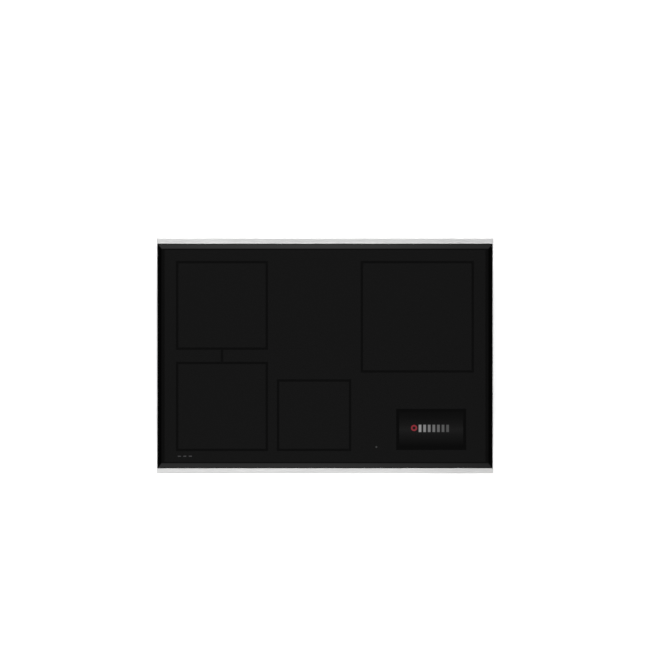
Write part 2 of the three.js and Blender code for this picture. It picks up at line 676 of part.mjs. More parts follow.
function choke() {
  const torus = new THREE.TorusGeometry(CHOKE.ring, CHOKE.wire, 10, 24);
  return solid(torus);
}

function addElectronics() {
  const parts = BOARD_Z + BOARD_THICK + SEAT;
  for (const [name, side] of [["left", -1], ["right", 1]]) {
    const board = boardBody({ ...POWER_BOARD, x: side * POWER_BOARD.x });
    addPart(cooktop, `generator_board_${name}`, board, MATERIAL.board);
    const sink = placed(side * POWER_INNER_X, AIR_LINE_Y, parts, side > 0 ? 0 : Math.PI);
    addPart(sink, `heat_sink_${name}`, heatSink(), MATERIAL.aluminium);
    const capacitorX = side * (POWER_INNER_X + CAPACITOR.inward);
    const capacitor = placed(capacitorX, AIR_LINE_Y - CAPACITOR.ahead, parts);
    addPart(capacitor, `bus_capacitor_${name}`, filmCapacitor(), MATERIAL.blue);
  }
  addPart(cooktop, "filter_board", boardBody(FILTER_BOARD), MATERIAL.board);
  addPart(cooktop, "supply_board", boardBody(SUPPLY_BOARD), MATERIAL.board);
  const ringGroup = placed(CHOKE.x, FILTER_BOARD.y, parts + CHOKE.wire);
  addPart(ringGroup, "filter_choke", choke(), MATERIAL.copper);
}

// ---- Supply: terminal block, conduit connector and internal harness ----
function terminalBlock() {
  const { length, depth, height, ways, rib, well } = TERMINAL;
  const low = SHEET + ACCESS.lipThick + SEAT;
  let body = block(ACCESS.x, ACCESS.y, length, depth, low, low + height);
  const pitch = (length - rib) / ways;
  for (let i = 0; i < ways; i++) {
    const x = ACCESS.x - length / 2 + rib + pitch * i;
    const top = low + height;
    body = body.subtract(box(x, x + pitch - rib, ACCESS.y - depth, ACCESS.y + depth, top - well, top + 1));
  }
  return body;
}

// Hollow connector along X: thread through the pocket's wall, shoulder, then the clamp body.
function conduitConnector() {
  const { thread, bore, flange, body, length } = CONDUIT;
  return turned([
    [bore, -3],
    [thread, -3],
    [thread, SEAT],
    [flange, SEAT],
    [flange, 3],
    [body, 3.5],
    [body, length - 10],
    [body - 2, length - 9],
    [body - 2, length],
    [bore, length],
    [bore, -3],
  ], 24);
}

function mainsHarness() {
  const start = SHEET + ACCESS.lipThick + TERMINAL.height + 3 * SEAT;
  const end = BOARD_Z + BOARD_THICK + 2 * SEAT;
  const from = new THREE.Vector3(ACCESS.x + TERMINAL.rib, ACCESS.y, start);
  const to = new THREE.Vector3(FILTER_BOARD.x + FILTER_BOARD.length * 0.3, FILTER_BOARD.y, end);
  const between = (share, z) => from.clone().lerp(to, share).setZ(z);
  const over = BOARD_Z + HEAT_SINK.height + HARNESS_RADIUS + 12; // passes over the heat sink
  const route = new THREE.CatmullRomCurve3([
    from,
    between(0, start + 18),
    between(0.25, over),
    between(0.6, over - 2),
    between(0.92, end + 38),
    between(1, end + 16),
    to,
  ]);
  const section = new THREE.Shape();
  for (let i = 0; i < 8; i++) {
    const angle = (i * Math.PI) / 4;
    const point = [Math.cos(angle) * HARNESS_RADIUS, Math.sin(angle) * HARNESS_RADIUS];
    if (i) section.lineTo(...point);
    else section.moveTo(...point);
  }
  return solid(new THREE.ExtrudeGeometry(section, { extrudePath: route, steps: 36, bevelEnabled: false }));
}

function addSupply() {
  addPart(cooktop, "terminal_block", terminalBlock(), MATERIAL.cream);
  const connector = addPart(cooktop, "conduit_connector", conduitConnector(), MATERIAL.zinc);
  connector.rotation.y = Math.PI / 2;
  connector.position.set(...CONDUIT_AT);
  addPart(cooktop, "mains_harness", mainsHarness(), MATERIAL.black);
}

// ---- Touch controls under the glass ----
function addControls() {
  const { margin, height, wall } = CONTROL_TRAY;
  const left = POWER_KEY.x - margin;
  const right = WINDOW.x + WINDOW.length / 2 + margin;
  const front = WINDOW.y - WINDOW.depth / 2 - margin;
  const rear = WINDOW.y + WINDOW.depth / 2 + margin;
  const low = PLATE_TOP + SEAT;
  const tray = box(left, right, front, rear, low, low + height);
  const well = box(left + wall, right - wall, front + wall, rear - wall, low + wall, low + height + 1);
  addPart(cooktop, "control_tray", tray.subtract(well), MATERIAL.black);
  const boardLow = low + height + SEAT;
  const touch = box(left, right, front, rear, boardLow, boardLow + BOARD_THICK);
  addPart(cooktop, "touch_board", touch, MATERIAL.board);
  const top = boardLow + BOARD_THICK + SEAT;
  const display = block(WINDOW.x, WINDOW.y, WINDOW.length, WINDOW.depth, top, GLASS_BOTTOM - SEAT);
  addPart(cooktop, "display_module", display, MATERIAL.grey);
  const key = post(POWER_KEY.x, POWER_KEY.y, POWER_KEY.radius, top, GLASS_BOTTOM - SEAT, 16);
  addPart(cooktop, "power_key_pad", key, MATERIAL.silicone);
}

// ---- Hold-down clamps: bracket on the box wall, screw that presses up under the worktop ----
function clampBracket() {
  const { arm, width, thick, plate, armZ, rib } = CLAMP;
  const upright = box(SEAT, SEAT + thick, -width / 2, width / 2, armZ - plate, armZ);
  let body = upright.add(box(SEAT, arm, -width / 2, width / 2, armZ - thick, armZ));
  for (const side of [-1, 1]) {
    const y = side * (width / 2 - thick / 2);
    const web = prism([[0, 0], [arm - SEAT - rib, 0], [0, -plate + rib]], -thick / 2, thick / 2);
    body = body.add(web.rotate([90, 0, 0]).translate([SEAT + thick / 2, y, armZ - thick / 2]));
  }
  const hole = CLAMP_SCREW.radius + CLAMP_SCREW.clearance;
  return body.subtract(post(CLAMP_SCREW.axis, 0, hole, armZ - thick - 1, armZ + 1, 20));
}

// Hexagon-headed screw with a round rubber-faced foot on top.
function clampScrew() {
  const { radius, pad, padThick, head, headTop, axis, top } = CLAMP_SCREW;
  const shaft = post(axis, 0, radius, headTop - 1, top - padThick + 0.5, 16);
  const foot = post(axis, 0, pad, top - padThick, top, 20);
  return shaft.add(foot).add(post(axis, 0, head, headTop - 6, headTop, 6));
}

function addClamps() {
  for (const [name, side] of [["left", -1], ["right", 1]]) {
    for (const [place, end] of [["front", -1], ["rear", 1]]) {
      const y = end * (DEPTH / 2 - CLAMP_SETBACK);
      const clamp = placed(side * BOX.x, y, 0, side > 0 ? 0 : Math.PI);
      addPart(clamp, `clamp_bracket_${name}_${place}`, clampBracket(), MATERIAL.zinc);
      addPart(clamp, `clamp_screw_${name}_${place}`, clampScrew(), MATERIAL.steel);
    }
  }
}

addTop();
addBurnerBox();
addCoils();
addBlowers();
addElectronics();
addSupply();
addControls();
addClamps();

export default cooktop;
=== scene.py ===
import math

import bmesh
import bpy
from mathutils import Matrix, Vector


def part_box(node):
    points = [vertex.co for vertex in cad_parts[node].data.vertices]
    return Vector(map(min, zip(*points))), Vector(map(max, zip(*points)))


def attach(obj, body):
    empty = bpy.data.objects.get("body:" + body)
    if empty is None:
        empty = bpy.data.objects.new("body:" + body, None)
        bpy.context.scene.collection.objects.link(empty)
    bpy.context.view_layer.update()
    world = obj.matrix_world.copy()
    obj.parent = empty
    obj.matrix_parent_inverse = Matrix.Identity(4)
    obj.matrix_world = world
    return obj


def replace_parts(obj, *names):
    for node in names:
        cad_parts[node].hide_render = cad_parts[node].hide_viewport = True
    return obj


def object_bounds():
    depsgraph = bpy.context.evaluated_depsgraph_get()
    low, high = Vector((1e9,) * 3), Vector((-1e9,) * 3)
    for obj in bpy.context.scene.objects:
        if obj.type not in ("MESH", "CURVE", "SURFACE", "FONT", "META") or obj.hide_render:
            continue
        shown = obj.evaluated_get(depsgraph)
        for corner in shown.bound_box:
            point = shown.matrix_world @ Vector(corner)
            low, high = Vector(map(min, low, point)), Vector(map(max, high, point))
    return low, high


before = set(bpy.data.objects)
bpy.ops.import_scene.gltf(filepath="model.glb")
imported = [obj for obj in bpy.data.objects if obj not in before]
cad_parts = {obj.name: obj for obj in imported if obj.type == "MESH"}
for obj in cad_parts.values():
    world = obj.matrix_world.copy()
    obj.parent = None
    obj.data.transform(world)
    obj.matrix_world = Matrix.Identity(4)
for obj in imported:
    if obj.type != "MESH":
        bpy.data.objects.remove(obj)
cad_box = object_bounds()
cooktop_top = cad_box[1].z

# ---- Studio ----
# The cooktop stands on a pale floor and is seen from straight above through a long lens. The sky is dark
# overhead, so that the glass stays black, and a pale card in front and one behind show in its bevels.
LENS = 200
SENSOR = 36
VIEW_WIDTH = 1.4703  # what the frame takes in at the height of the glass
VIEW_SHIFT = 0.0689  # the cooktop stands this far below the frame's middle
FLOOR_GAP = 0.0004
FLOOR_RADIUS = 45
FLOOR_TONE = 0.55
FLOOR_GLOW = 0.69
BACKDROP_TONE = 0.92
# Sky levels by height: 0 is straight down, 0.5 the horizon and 1 straight up.
SKY_LEVELS = [
    (0.0, 0.9),
    (0.5, 1.0),
    (0.53, 0.75),
    (0.6, 0.45),
    (0.72, 0.24),
    (0.86, 0.05),
    (0.9, 0.02),
    (0.978, 0.02),
    (0.992, 0.07),
    (1.0, 0.07),
]
# Each card's brightness from left to right, over the small part of the sky that the bevels reflect.
CARD_SPREAD = 0.09
CARDS = {
    -1: [(0.0, 0.6), (0.25, 0.62), (0.5, 0.7), (0.75, 0.55), (1.0, 0.42)],
    1: [(0.0, 0.72), (0.25, 0.86), (0.5, 1.0), (0.75, 0.72), (1.0, 0.46)],
}
CARD_NEAR = (0.2, 0.27)
CARD_FAR = (0.56, 0.46)
CARD_SIDES = (0.4, 0.28)
LAMP_POWER = 37
LAMP_SIZE = (2.2, 0.75)
LAMP_PLACES = [(-0.12, -1.5, 1.4), (-0.12, 1.5, 1.4)]


def add(tree, kind, inputs=None, **settings):
    """Adds a shader node. An input is a value, or the socket that feeds it."""
    node = tree.nodes.new("ShaderNode" + kind)
    for name, value in settings.items():
        setattr(node, name, value)
    for key, value in (inputs or {}).items():
        if isinstance(value, bpy.types.NodeSocket):
            tree.links.new(value, node.inputs[key])
        else:
            node.inputs[key].default_value = value
    return node


def calc(tree, operation, *values):
    """One sum on one or two numbers."""
    return add(tree, "Math", dict(enumerate(values)), operation=operation).outputs[0]


def times(tree, *values):
    """The product of several numbers."""
    product = values[0]
    for value in values[1:]:
        product = calc(tree, "MULTIPLY", product, value)
    return product


def step(tree, value, start, end, low=0.0, high=1.0, smooth=True):
    """A number that goes from low to high as value goes from start to end."""
    ends = {"Value": value, "From Min": start, "From Max": end, "To Min": low, "To Max": high}
    kind = "SMOOTHSTEP" if smooth else "LINEAR"
    return add(tree, "MapRange", ends, interpolation_type=kind).outputs["Result"]


def colour_of(tone):
    """A grey level or a colour, with its alpha."""
    return (*(tone if isinstance(tone, tuple) else (tone,) * 3), 1)


def ramp(tree, value, stops):
    """The colour for a value from 0 to 1, through stops of (value, tone)."""
    node = add(tree, "ValToRGB", {"Fac": value})
    elements = node.color_ramp.elements
    while len(elements) < len(stops):
        elements.new(0.5)
    for element, (position, tone) in zip(elements, stops):
        element.position = position
        element.color = colour_of(tone)
    return node.outputs["Color"]


def mix(tree, share, below, above, how="MIX"):
    """Two tones mixed: share 0 shows below, and 1 shows above."""
    tones = [t if isinstance(t, bpy.types.NodeSocket) else colour_of(t) for t in (below, above)]
    inputs = {0: share, 6: tones[0], 7: tones[1]}
    return add(tree, "Mix", inputs, data_type="RGBA", blend_type=how).outputs[2]


def sky_brightness(tree):
    """The studio sky: levels by height, with the two cards on top."""
    way = add(tree, "SeparateXYZ", {0: add(tree, "TexCoord").outputs["Generated"]}).outputs
    tone = ramp(tree, step(tree, way["Z"], -1, 1, smooth=False), SKY_LEVELS)
    across = step(tree, way["X"], -CARD_SPREAD / 2, CARD_SPREAD / 2, smooth=False)
    sideways = step(tree, calc(tree, "ABSOLUTE", way["X"]), *CARD_SIDES)
    overhead = step(tree, way["Z"], 0.5, 0.6)
    for side, tones in CARDS.items():
        out = calc(tree, "MULTIPLY", way["Y"], side)
        mask = times(tree, step(tree, out, *CARD_NEAR), step(tree, out, *CARD_FAR), sideways, overhead)
        tone = mix(tree, mask, tone, ramp(tree, across, tones))
    return tone


def link(made):
    """Puts an object into the scene."""
    bpy.context.scene.collection.objects.link(made)
    return made


camera = link(bpy.data.objects.new("camera", bpy.data.cameras.new("camera")))
camera.data.lens = LENS
camera.data.sensor_width = SENSOR
camera.data.sensor_fit = "HORIZONTAL"
camera.data.clip_end = 100
camera.location = (0, VIEW_SHIFT, cooktop_top + VIEW_WIDTH * LENS / SENSOR)
bpy.context.scene.camera = camera
bpy.context.scene.view_settings.view_transform = "Standard"

sky = bpy.data.worlds.new("studio_sky")
sky.use_nodes = True
tree = sky.node_tree
tree.nodes.clear()
lighting = add(tree, "Background", {"Color": sky_brightness(tree)})
backdrop = add(tree, "Background", {"Color": colour_of(BACKDROP_TONE)})
seen = add(tree, "LightPath").outputs["Is Camera Ray"]
background = add(tree, "MixShader", {0: seen, 1: lighting.outputs[0], 2: backdrop.outputs[0]})
add(tree, "OutputWorld", {"Surface": background.outputs[0]})
bpy.context.scene.world = sky

for number, place in enumerate(LAMP_PLACES):
    lamp = link(bpy.data.objects.new(f"lamp_{number}", bpy.data.lights.new(f"lamp_{number}", "AREA")))
    lamp.data.shape = "RECTANGLE"
    lamp.data.size, lamp.data.size_y = LAMP_SIZE
    lamp.data.energy = LAMP_POWER
    lamp.location = place
    lamp.rotation_euler = (Vector((0, 0, cooktop_top)) - lamp.location).to_track_quat("-Z", "Y").to_euler()
    lamp.visible_camera = False

floor_shape = bmesh.new()
bmesh.ops.create_circle(floor_shape, cap_ends=True, segments=96, radius=FLOOR_RADIUS)
floor = link(bpy.data.objects.new("floor", bpy.data.meshes.new("floor")))
floor_shape.to_mesh(floor.data)
floor_shape.free()
floor.location.z = cad_box[0].z - FLOOR_GAP
floor.visible_shadow = False
pale_floor = bpy.data.materials.new("pale_floor")
pale_floor.use_nodes = True
floor.data.materials.append(pale_floor)
tree = pale_floor.node_tree
tree.nodes.clear()
mottle = add(tree, "TexNoise", {"Scale": 3.0, "Detail": 4.0}).outputs["Fac"]
paper = add(tree, "BsdfDiffuse", {"Color": ramp(tree, mottle, [(0.3, FLOOR_TONE - 0.02), (0.7, FLOOR_TONE)])})
glow = add(tree, "Emission", {"Strength": FLOOR_GLOW})
lit = add(tree, "AddShader", {0: paper.outputs[0], 1: glow.outputs[0]})
from_below = add(tree, "NewGeometry").outputs["Backfacing"]
shown = add(tree, "MixShader", {0: from_below, 1: lit.outputs[0], 2: add(tree, "BsdfTransparent").outputs[0]})
add(tree, "OutputMaterial", {"Surface": shown.outputs[0]})

# ---- Burner box ----
# A deep-drawn tray of galvanised sheet that hangs in the worktop's cut-out. Its seams are riveted at the
# corners, and its spangle is the frosty pattern that zinc makes as it sets on the steel.
SHEET_EDGE = 0.0003
RIVET_RADIUS = 0.0024
RIVET_HEIGHT = 0.0011
RIVET_INSET = 0.009
WALL_GAP = 0.0075  # coil plate's edge to the box's outside
LABEL_SIZE = (0.092, 0.05)
LABEL_THICK = 0.00025
LABEL_ROW = 0.0075
LABEL_PLACE = (-0.2, 0.044)  # its middle, across and up the front wall
RIVET_LEVELS = (0.016, 0.044, 0.072)
RIVET_SIDES = 16
POCKET_CLEARANCE = 0.016  # no rivet stands below this, over the conduit connector
SPANGLE_SCALE = 190.0
SEAM_HEIGHT = 0.000018
ZINC_TONES = [(0.1, (0.4, 0.415, 0.43)), (0.5, (0.48, 0.495, 0.51)), (0.9, (0.57, 0.58, 0.59))]


def effect(name, inputs, outputs):
    """Starts a shader node group. inputs and outputs are (socket name, kind, value)."""
    group = bpy.data.node_groups.new(name, "ShaderNodeTree")
    for label, kind, value in inputs:
        socket = group.interface.new_socket(label, in_out="INPUT", socket_type="NodeSocket" + kind)
        socket.default_value = value
    for label, kind in outputs:
        group.interface.new_socket(label, in_out="OUTPUT", socket_type="NodeSocket" + kind)
    given = group.nodes.new("NodeGroupInput").outputs
    result = group.nodes.new("NodeGroupOutput").inputs
    return group, given, result


def place_in(tree):
    """Where a point lies on the piece, in metres."""
    return add(tree, "TexCoord").outputs["Object"]


def stretch(tree, place, scale):
    """The same place with each axis scaled."""
    return add(tree, "VectorMath", {0: place, 1: scale}, operation="MULTIPLY").outputs[0]


# Zinc spangle: crystals with slightly different greys, and a low seam between them.
spangle, given, result = effect(
    "zinc_spangle",
    [("Place", "Vector", (0, 0, 0)), ("Scale", "Float", 70.0)],
    [("Shade", "Float"), ("Seam", "Float")],
)
warp = add(spangle, "TexNoise", {"Vector": given["Place"], "Scale": 45.0, "Detail": 3.0}).outputs["Color"]
bent = add(spangle, "Mix", {0: 0.012, 4: given["Place"], 5: warp}, data_type="VECTOR").outputs[1]
crystal = add(spangle, "TexVoronoi", {"Vector": bent, "Scale": given["Scale"]})
shade = add(spangle, "SeparateXYZ", {0: crystal.outputs["Color"]}).outputs["X"]
fine = add(spangle, "TexNoise", {"Vector": given["Place"], "Scale": 700.0, "Detail": 2.0}).outputs["Fac"]
shade = calc(spangle, "ADD", times(spangle, shade, 0.75), times(spangle, fine, 0.25))
spangle.links.new(shade, result["Shade"])
rim = add(spangle, "TexVoronoi", {"Vector": bent, "Scale": given["Scale"]}, feature="DISTANCE_TO_EDGE")
spangle.links.new(step(spangle, rim.outputs["Distance"], 0.0, 0.08), result["Seam"])

# Handling: broad smears left by gloves and wiping, with finer specks in them.
handling, given, result = effect(
    "handling_marks",
    [("Place", "Vector", (0, 0, 0)), ("Scale", "Float", 9.0)],
    [("Smear", "Float"), ("Specks", "Float")],
)
broad = add(
    handling,
    "TexNoise",
    {"Vector": given["Place"], "Scale": given["Scale"], "Detail": 5.0, "Distortion": 0.8},
)
handling.links.new(step(handling, broad.outputs["Fac"], 0.38, 0.66), result["Smear"])
specks = add(handling, "TexNoise", {"Vector": given["Place"], "Scale": 420.0, "Detail": 3.0}).outputs["Fac"]
handling.links.new(step(handling, specks, 0.52, 0.7), result["Specks"])


def use(tree, group, **inputs):
    """Places a node group, with its own values, and returns its outputs."""
    named = {label.replace("_", " "): value for label, value in inputs.items()}
    return add(tree, "Group", named, node_tree=group).outputs


def new_finish(name, **values):
    """A material with a Principled surface and the values that are the same all over it."""
    made = bpy.data.materials.new(name)
    made.use_nodes = True
    surface = made.node_tree.nodes["Principled BSDF"]
    for label, value in values.items():
        surface.inputs[label.replace("_", " ")].default_value = value
    return made, made.node_tree, surface.inputs


def feed(tree, surface, colour=None, rough=None, height=None, depth=0.0001):
    """Joins colour, roughness and bump to a surface. depth is the bump's height in metres."""
    if colour is not None:
        tree.links.new(colour, surface["Base Color"])
    if rough is not None:
        tree.links.new(rough, surface["Roughness"])
    if height is not None:
        bump = add(tree, "Bump", {"Height": height, "Distance": depth})
        tree.links.new(bump.outputs["Normal"], surface["Normal"])


def galvanised_finish():
    """Hot-dipped sheet."""
    made, tree, surface = new_finish("galvanised_sheet", Metallic=1.0)
    place = place_in(tree)
    zinc = use(tree, spangle, Place=place, Scale=SPANGLE_SCALE)
    marks = use(tree, handling, Place=place, Scale=11.0)
    tone = ramp(tree, zinc["Shade"], ZINC_TONES)
    tone = mix(tree, times(tree, marks["Smear"], 0.25), tone, (0.42, 0.43, 0.44))
    rough = step(tree, zinc["Shade"], 0.0, 1.0, 0.6, 0.42)
    feed(tree, surface, tone, rough, zinc["Seam"], SEAM_HEIGHT)
    return made


galvanised = galvanised_finish()


def dress(finish, edge, *names, sharp=40):
    """Gives CAD nodes their finish, and rounds their edges that turn by more than sharp degrees."""
    for name in names:
        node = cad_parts[name]
        if "custom_normal" in node.data.attributes:
            node.data.attributes.remove(node.data.attributes["custom_normal"])
        node.data.polygons.foreach_set("use_smooth", [True] * len(node.data.polygons))
        node.data.materials.clear()
        node.data.materials.append(finish)
        join = node.modifiers.new("join", "WELD")
        join.merge_threshold = 1e-6
        flat = node.modifiers.new("flat", "DECIMATE")
        flat.decimate_type = "DISSOLVE"
        flat.angle_limit = math.radians(0.6)
        soft = node.modifiers.new("soft", "BEVEL")
        soft.width = edge
        soft.segments = 2
        soft.limit_method = "ANGLE"
        soft.angle_limit = math.radians(sharp)
        node.modifiers.new("shading", "WEIGHTED_NORMAL").weight = 60


def skin(shape, loops, finish=0):
    """Faces between loops of points; a loop of one point closes an end, and a longer end loop is capped."""
    corners = [[shape.verts.new(point) for point in loop] for loop in loops]
    faces = []
    for low, high in zip(corners, corners[1:]):
        count = max(len(low), len(high))
        for i in range(count):
            j = (i + 1) % count
            quad = [low[i % len(low)], low[j % len(low)], high[j % len(high)], high[i % len(high)]]
            faces.append(shape.faces.new(list(dict.fromkeys(quad))))
    for end in (corners[0], corners[-1]):
        if len(end) > 2:
            faces.append(shape.faces.new(end))
    for face in faces:
        face.material_index = finish


def turned(shape, outline, place, sides=24, finish=0):
    """A turned form round the place's own Z: outline is (radius, height) from one end to the other."""
    turns = [2 * math.pi * i / sides for i in range(sides)]
    loops = []
    for radius, height in outline:
        around = turns if radius else [0]
        loops.append([place @ Vector((radius * math.cos(a), radius * math.sin(a), height)) for a in around])
    skin(shape, loops, finish)


def piece(name, shape, slot, *finishes, body="cooktop", middle=(0, 0, 0)):
    """Makes a named piece from a shape drawn round its middle, and hangs it on a body."""
    bmesh.ops.recalc_face_normals(shape, faces=shape.faces)
    made = link(bpy.data.objects.new(name, bpy.data.meshes.new(name)))
    shape.to_mesh(made.data)
    shape.free()
    made.location = middle
    for finish in finishes:
        made.data.materials.append(finish)
    made.data.polygons.foreach_set("use_smooth", [True] * len(made.data.polygons))
    made.data.set_sharp_from_angle(angle=math.radians(38))
    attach(made, body)
    return made


def facing(point, way):
    """A place at a point whose Z looks that way."""
    return Matrix.Translation(point) @ Vector(way).to_track_quat("Z", "Y").to_matrix().to_4x4()


def slab(shape, low, high, corner, edge, finish=0, place=Matrix.Identity(4)):
    """A block from corner to corner, with rounded upright corners and small rounded edges above and below."""
    low, high = Vector(low), Vector(high)
    loops = []
    for inset, height in ((edge, low.z), (0, low.z + edge), (0, high.z - edge), (edge, high.z)):
        radius = max(corner - inset, edge / 4)
        x0, x1 = low.x + inset + radius, high.x - inset - radius
        y0, y1 = low.y + inset + radius, high.y - inset - radius
        loop = []
        for quarter, (x, y) in enumerate(((x1, y1), (x0, y1), (x0, y0), (x1, y0))):
            for part in range(4):
                angle = (quarter + part / 3) * math.pi / 2
                across, along = radius * math.cos(angle), radius * math.sin(angle)
                loop.append(place @ Vector((x + across, y + along, height)))
        loops.append(loop)
    skin(shape, loops, finish)


dress(galvanised, SHEET_EDGE, "burner_box")
wall_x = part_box("coil_plate")[1].x + WALL_GAP
wall_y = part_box("coil_plate")[1].y + WALL_GAP
pocket_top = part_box("conduit_connector")[1].z + POCKET_CLEARANCE
dome = [(0, 0), (RIVET_RADIUS, 0), (RIVET_RADIUS * 0.95, RIVET_HEIGHT * 0.5)]
dome += [(RIVET_RADIUS * 0.6, RIVET_HEIGHT * 0.9), (0, RIVET_HEIGHT)]
shape = bmesh.new()
for side in (-1, 1):
    for end in (-1, 1):
        for height in RIVET_LEVELS:
            if end == 1 and side == 1 and height < pocket_top:
                continue
            on_long_wall = (end * (wall_x - RIVET_INSET), side * wall_y, height)
            turned(shape, dome, facing(on_long_wall, (0, side, 0)), RIVET_SIDES)
            on_short_wall = (end * wall_x, side * (wall_y - RIVET_INSET), height)
            turned(shape, dome, facing(on_short_wall, (end, 0, 0)), RIVET_SIDES)
piece("corner_rivets", shape, "plated_steel", galvanised)


def label_finish():
    """Brushed foil with a pale border and plain bars where a maker's data would be."""
    made, tree, surface = new_finish("label_foil", Metallic=0.6, Roughness=0.42)
    place = place_in(tree)
    spot = add(tree, "SeparateXYZ", {0: place}).outputs
    brushed = stretch(tree, place, (30, 900, 900))
    grain = add(tree, "TexNoise", {"Vector": brushed, "Scale": 1.0}).outputs["Fac"]
    foil = ramp(tree, grain, [(0.3, (0.6, 0.61, 0.62)), (0.7, (0.74, 0.75, 0.76))])
    height = calc(tree, "MULTIPLY", spot["Z"], 1 / LABEL_ROW)
    rows = calc(tree, "FRACT", height)
    row = calc(tree, "FLOOR", height)
    wave = calc(tree, "SINE", calc(tree, "MULTIPLY", row, 12.7))
    reach = calc(tree, "FRACT", calc(tree, "MULTIPLY", wave, 3.1))
    right = step(tree, reach, 0.0, 1.0, -0.005, 0.035, smooth=False)
    bars = times(
        tree,
        step(tree, rows, 0.3, 0.34),
        step(tree, rows, 0.66, 0.62),
        step(tree, spot["X"], -0.04, -0.0395),
        calc(tree, "LESS_THAN", spot["X"], right),
        calc(tree, "LESS_THAN", calc(tree, "ABSOLUTE", spot["Z"]), 0.019),
    )
    feed(tree, surface, mix(tree, bars, foil, (0.03, 0.03, 0.032)), height=grain, depth=0.00001)
    return made


label_middle = Vector((LABEL_PLACE[0], -wall_y, LABEL_PLACE[1]))
shape = bmesh.new()
half = Vector((LABEL_SIZE[0] / 2, LABEL_SIZE[1] / 2, 0))
upright = facing((0, 0, 0), (0, -1, 0))
slab(shape, -half, half + Vector((0, 0, LABEL_THICK)), 0.003, 0.00004, place=upright)
piece("box_label", shape, "aluminium_sheet", label_finish(), middle=label_middle)

# ---- Access cover ----
# A pressed plate of the same galvanised sheet, set flush into the floor under the terminals so that the
# supply can be reached from below. Two small zinc-plated screws hold it.
COVER_SCREW = (0.00135, 0.0012)  # a head's radius and height
COVER_SCREW_INSET = 0.003
COVER_SCREW_SINK = 0.0002

# Brushing: long fine scratches. Along is small on the axis that they follow and large on the others.
brushing, given, result = effect(
    "brushed_grain",
    [("Place", "Vector", (0, 0, 0)), ("Along", "Vector", (6, 2200, 2200))],
    [("Lines", "Float"), ("Streaks", "Float")],
)
lined = stretch(brushing, given["Place"], given["Along"])
fine_lines = {"Vector": lined, "Scale": 1.0, "Detail": 3.0, "Roughness": 0.7}
lines = add(brushing, "TexNoise", fine_lines).outputs["Fac"]
streaks = add(brushing, "TexNoise", {"Vector": lined, "Scale": 0.17, "Detail": 2.0}).outputs["Fac"]
brushing.links.new(lines, result["Lines"])
brushing.links.new(streaks, result["Streaks"])


def plated_finish():
    """Zinc-plated steel: bluish, with fine turning lines and cloudy passivation."""
    made, tree, surface = new_finish("zinc_plated_steel", Metallic=1.0)
    place = place_in(tree)
    lines = use(tree, brushing, Place=place, Along=(500, 500, 2600))
    marks = use(tree, handling, Place=place, Scale=60.0)
    tone = ramp(tree, lines["Streaks"], [(0.3, (0.52, 0.53, 0.54)), (0.7, (0.68, 0.69, 0.69))])
    tone = mix(tree, times(tree, marks["Smear"], 0.3), tone, (0.58, 0.57, 0.48))
    feed(tree, surface, tone, step(tree, lines["Lines"], 0.2, 0.8, 0.26, 0.4), lines["Lines"], 0.00002)
    return made


def circle_points(place, radius, height, sides):
    """Points round the place's own Z."""
    turns = [2 * math.pi * (i + 0.5) / sides for i in range(sides)]
    return [place @ Vector((radius * math.cos(turn), radius * math.sin(turn), height)) for turn in turns]


def pan_head(shape, place, radius, height, finish=0, sides=24):
    """A domed screw head with a cross recess, standing on the place's own plane."""
    arm, half_width, deep = radius * 0.56, radius * 0.15, height * 0.55
    loops = [[place @ Vector((0, 0, 0))]]
    for share, level in ((1, 0), (1, 0.35), (0.93, 0.66), (0.8, 0.88)):
        loops.append(circle_points(place, radius * share, height * level, sides))
    for level, shrink in ((1.0, 1.0), (1 - deep / height, 0.8)):
        cross = []
        for i in range(sides):
            turn = 2 * math.pi * (i + 0.5) / sides
            across, along = abs(math.cos(turn)), abs(math.sin(turn))
            reach = max(min(arm / across, half_width / along), min(half_width / across, arm / along)) * shrink
            cross.append(place @ Vector((reach * math.cos(turn), reach * math.sin(turn), height * level)))
        loops.append(cross)
    loops.append([place @ Vector((0, 0, height - deep))])
    skin(shape, loops, finish)


dress(galvanised, SHEET_EDGE, "junction_cover")
plated = plated_finish()
low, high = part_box("junction_cover")
shape = bmesh.new()
for x in (low.x + COVER_SCREW_INSET, high.x - COVER_SCREW_INSET):
    seat = (x, (low.y + high.y) / 2, high.z + COVER_SCREW_SINK)
    pan_head(shape, facing(seat, (0, 0, -1)), *COVER_SCREW)
piece("cover_screws", shape, "plated_steel", plated)

# ---- Terminal block and supply wires ----
# A moulded grey block with four wells, each with a plated clamping screw, and the bundle of insulated wires
# that runs from it along the floor to the filter board.
WELL_DEPTH = 0.009
TERMINALS = 4
TERMINAL_ROW = 0.28  # how far in from the block's edge its two rows of screws stand, as a share
TERMINAL_SCREW = (0.0032, 0.0024)
BLACK_TONES = ((0.012, 0.012, 0.013), (0.026, 0.026, 0.028))

# Moulded plastic: the fine texture of the mould, with faint flow marks across the wall.
moulding, given, result = effect(
    "moulded_grain",
    [("Place", "Vector", (0, 0, 0)), ("Scale", "Float", 900.0)],
    [("Grain", "Float"), ("Flow", "Float")],
)
grain = add(moulding, "TexNoise", {"Vector": given["Place"], "Scale": given["Scale"], "Detail": 2.0})
moulding.links.new(grain.outputs["Fac"], result["Grain"])
flow = add(moulding, "TexNoise", {"Vector": given["Place"], "Scale": 38.0, "Detail": 2.0, "Distortion": 1.6})
moulding.links.new(flow.outputs["Fac"], result["Flow"])

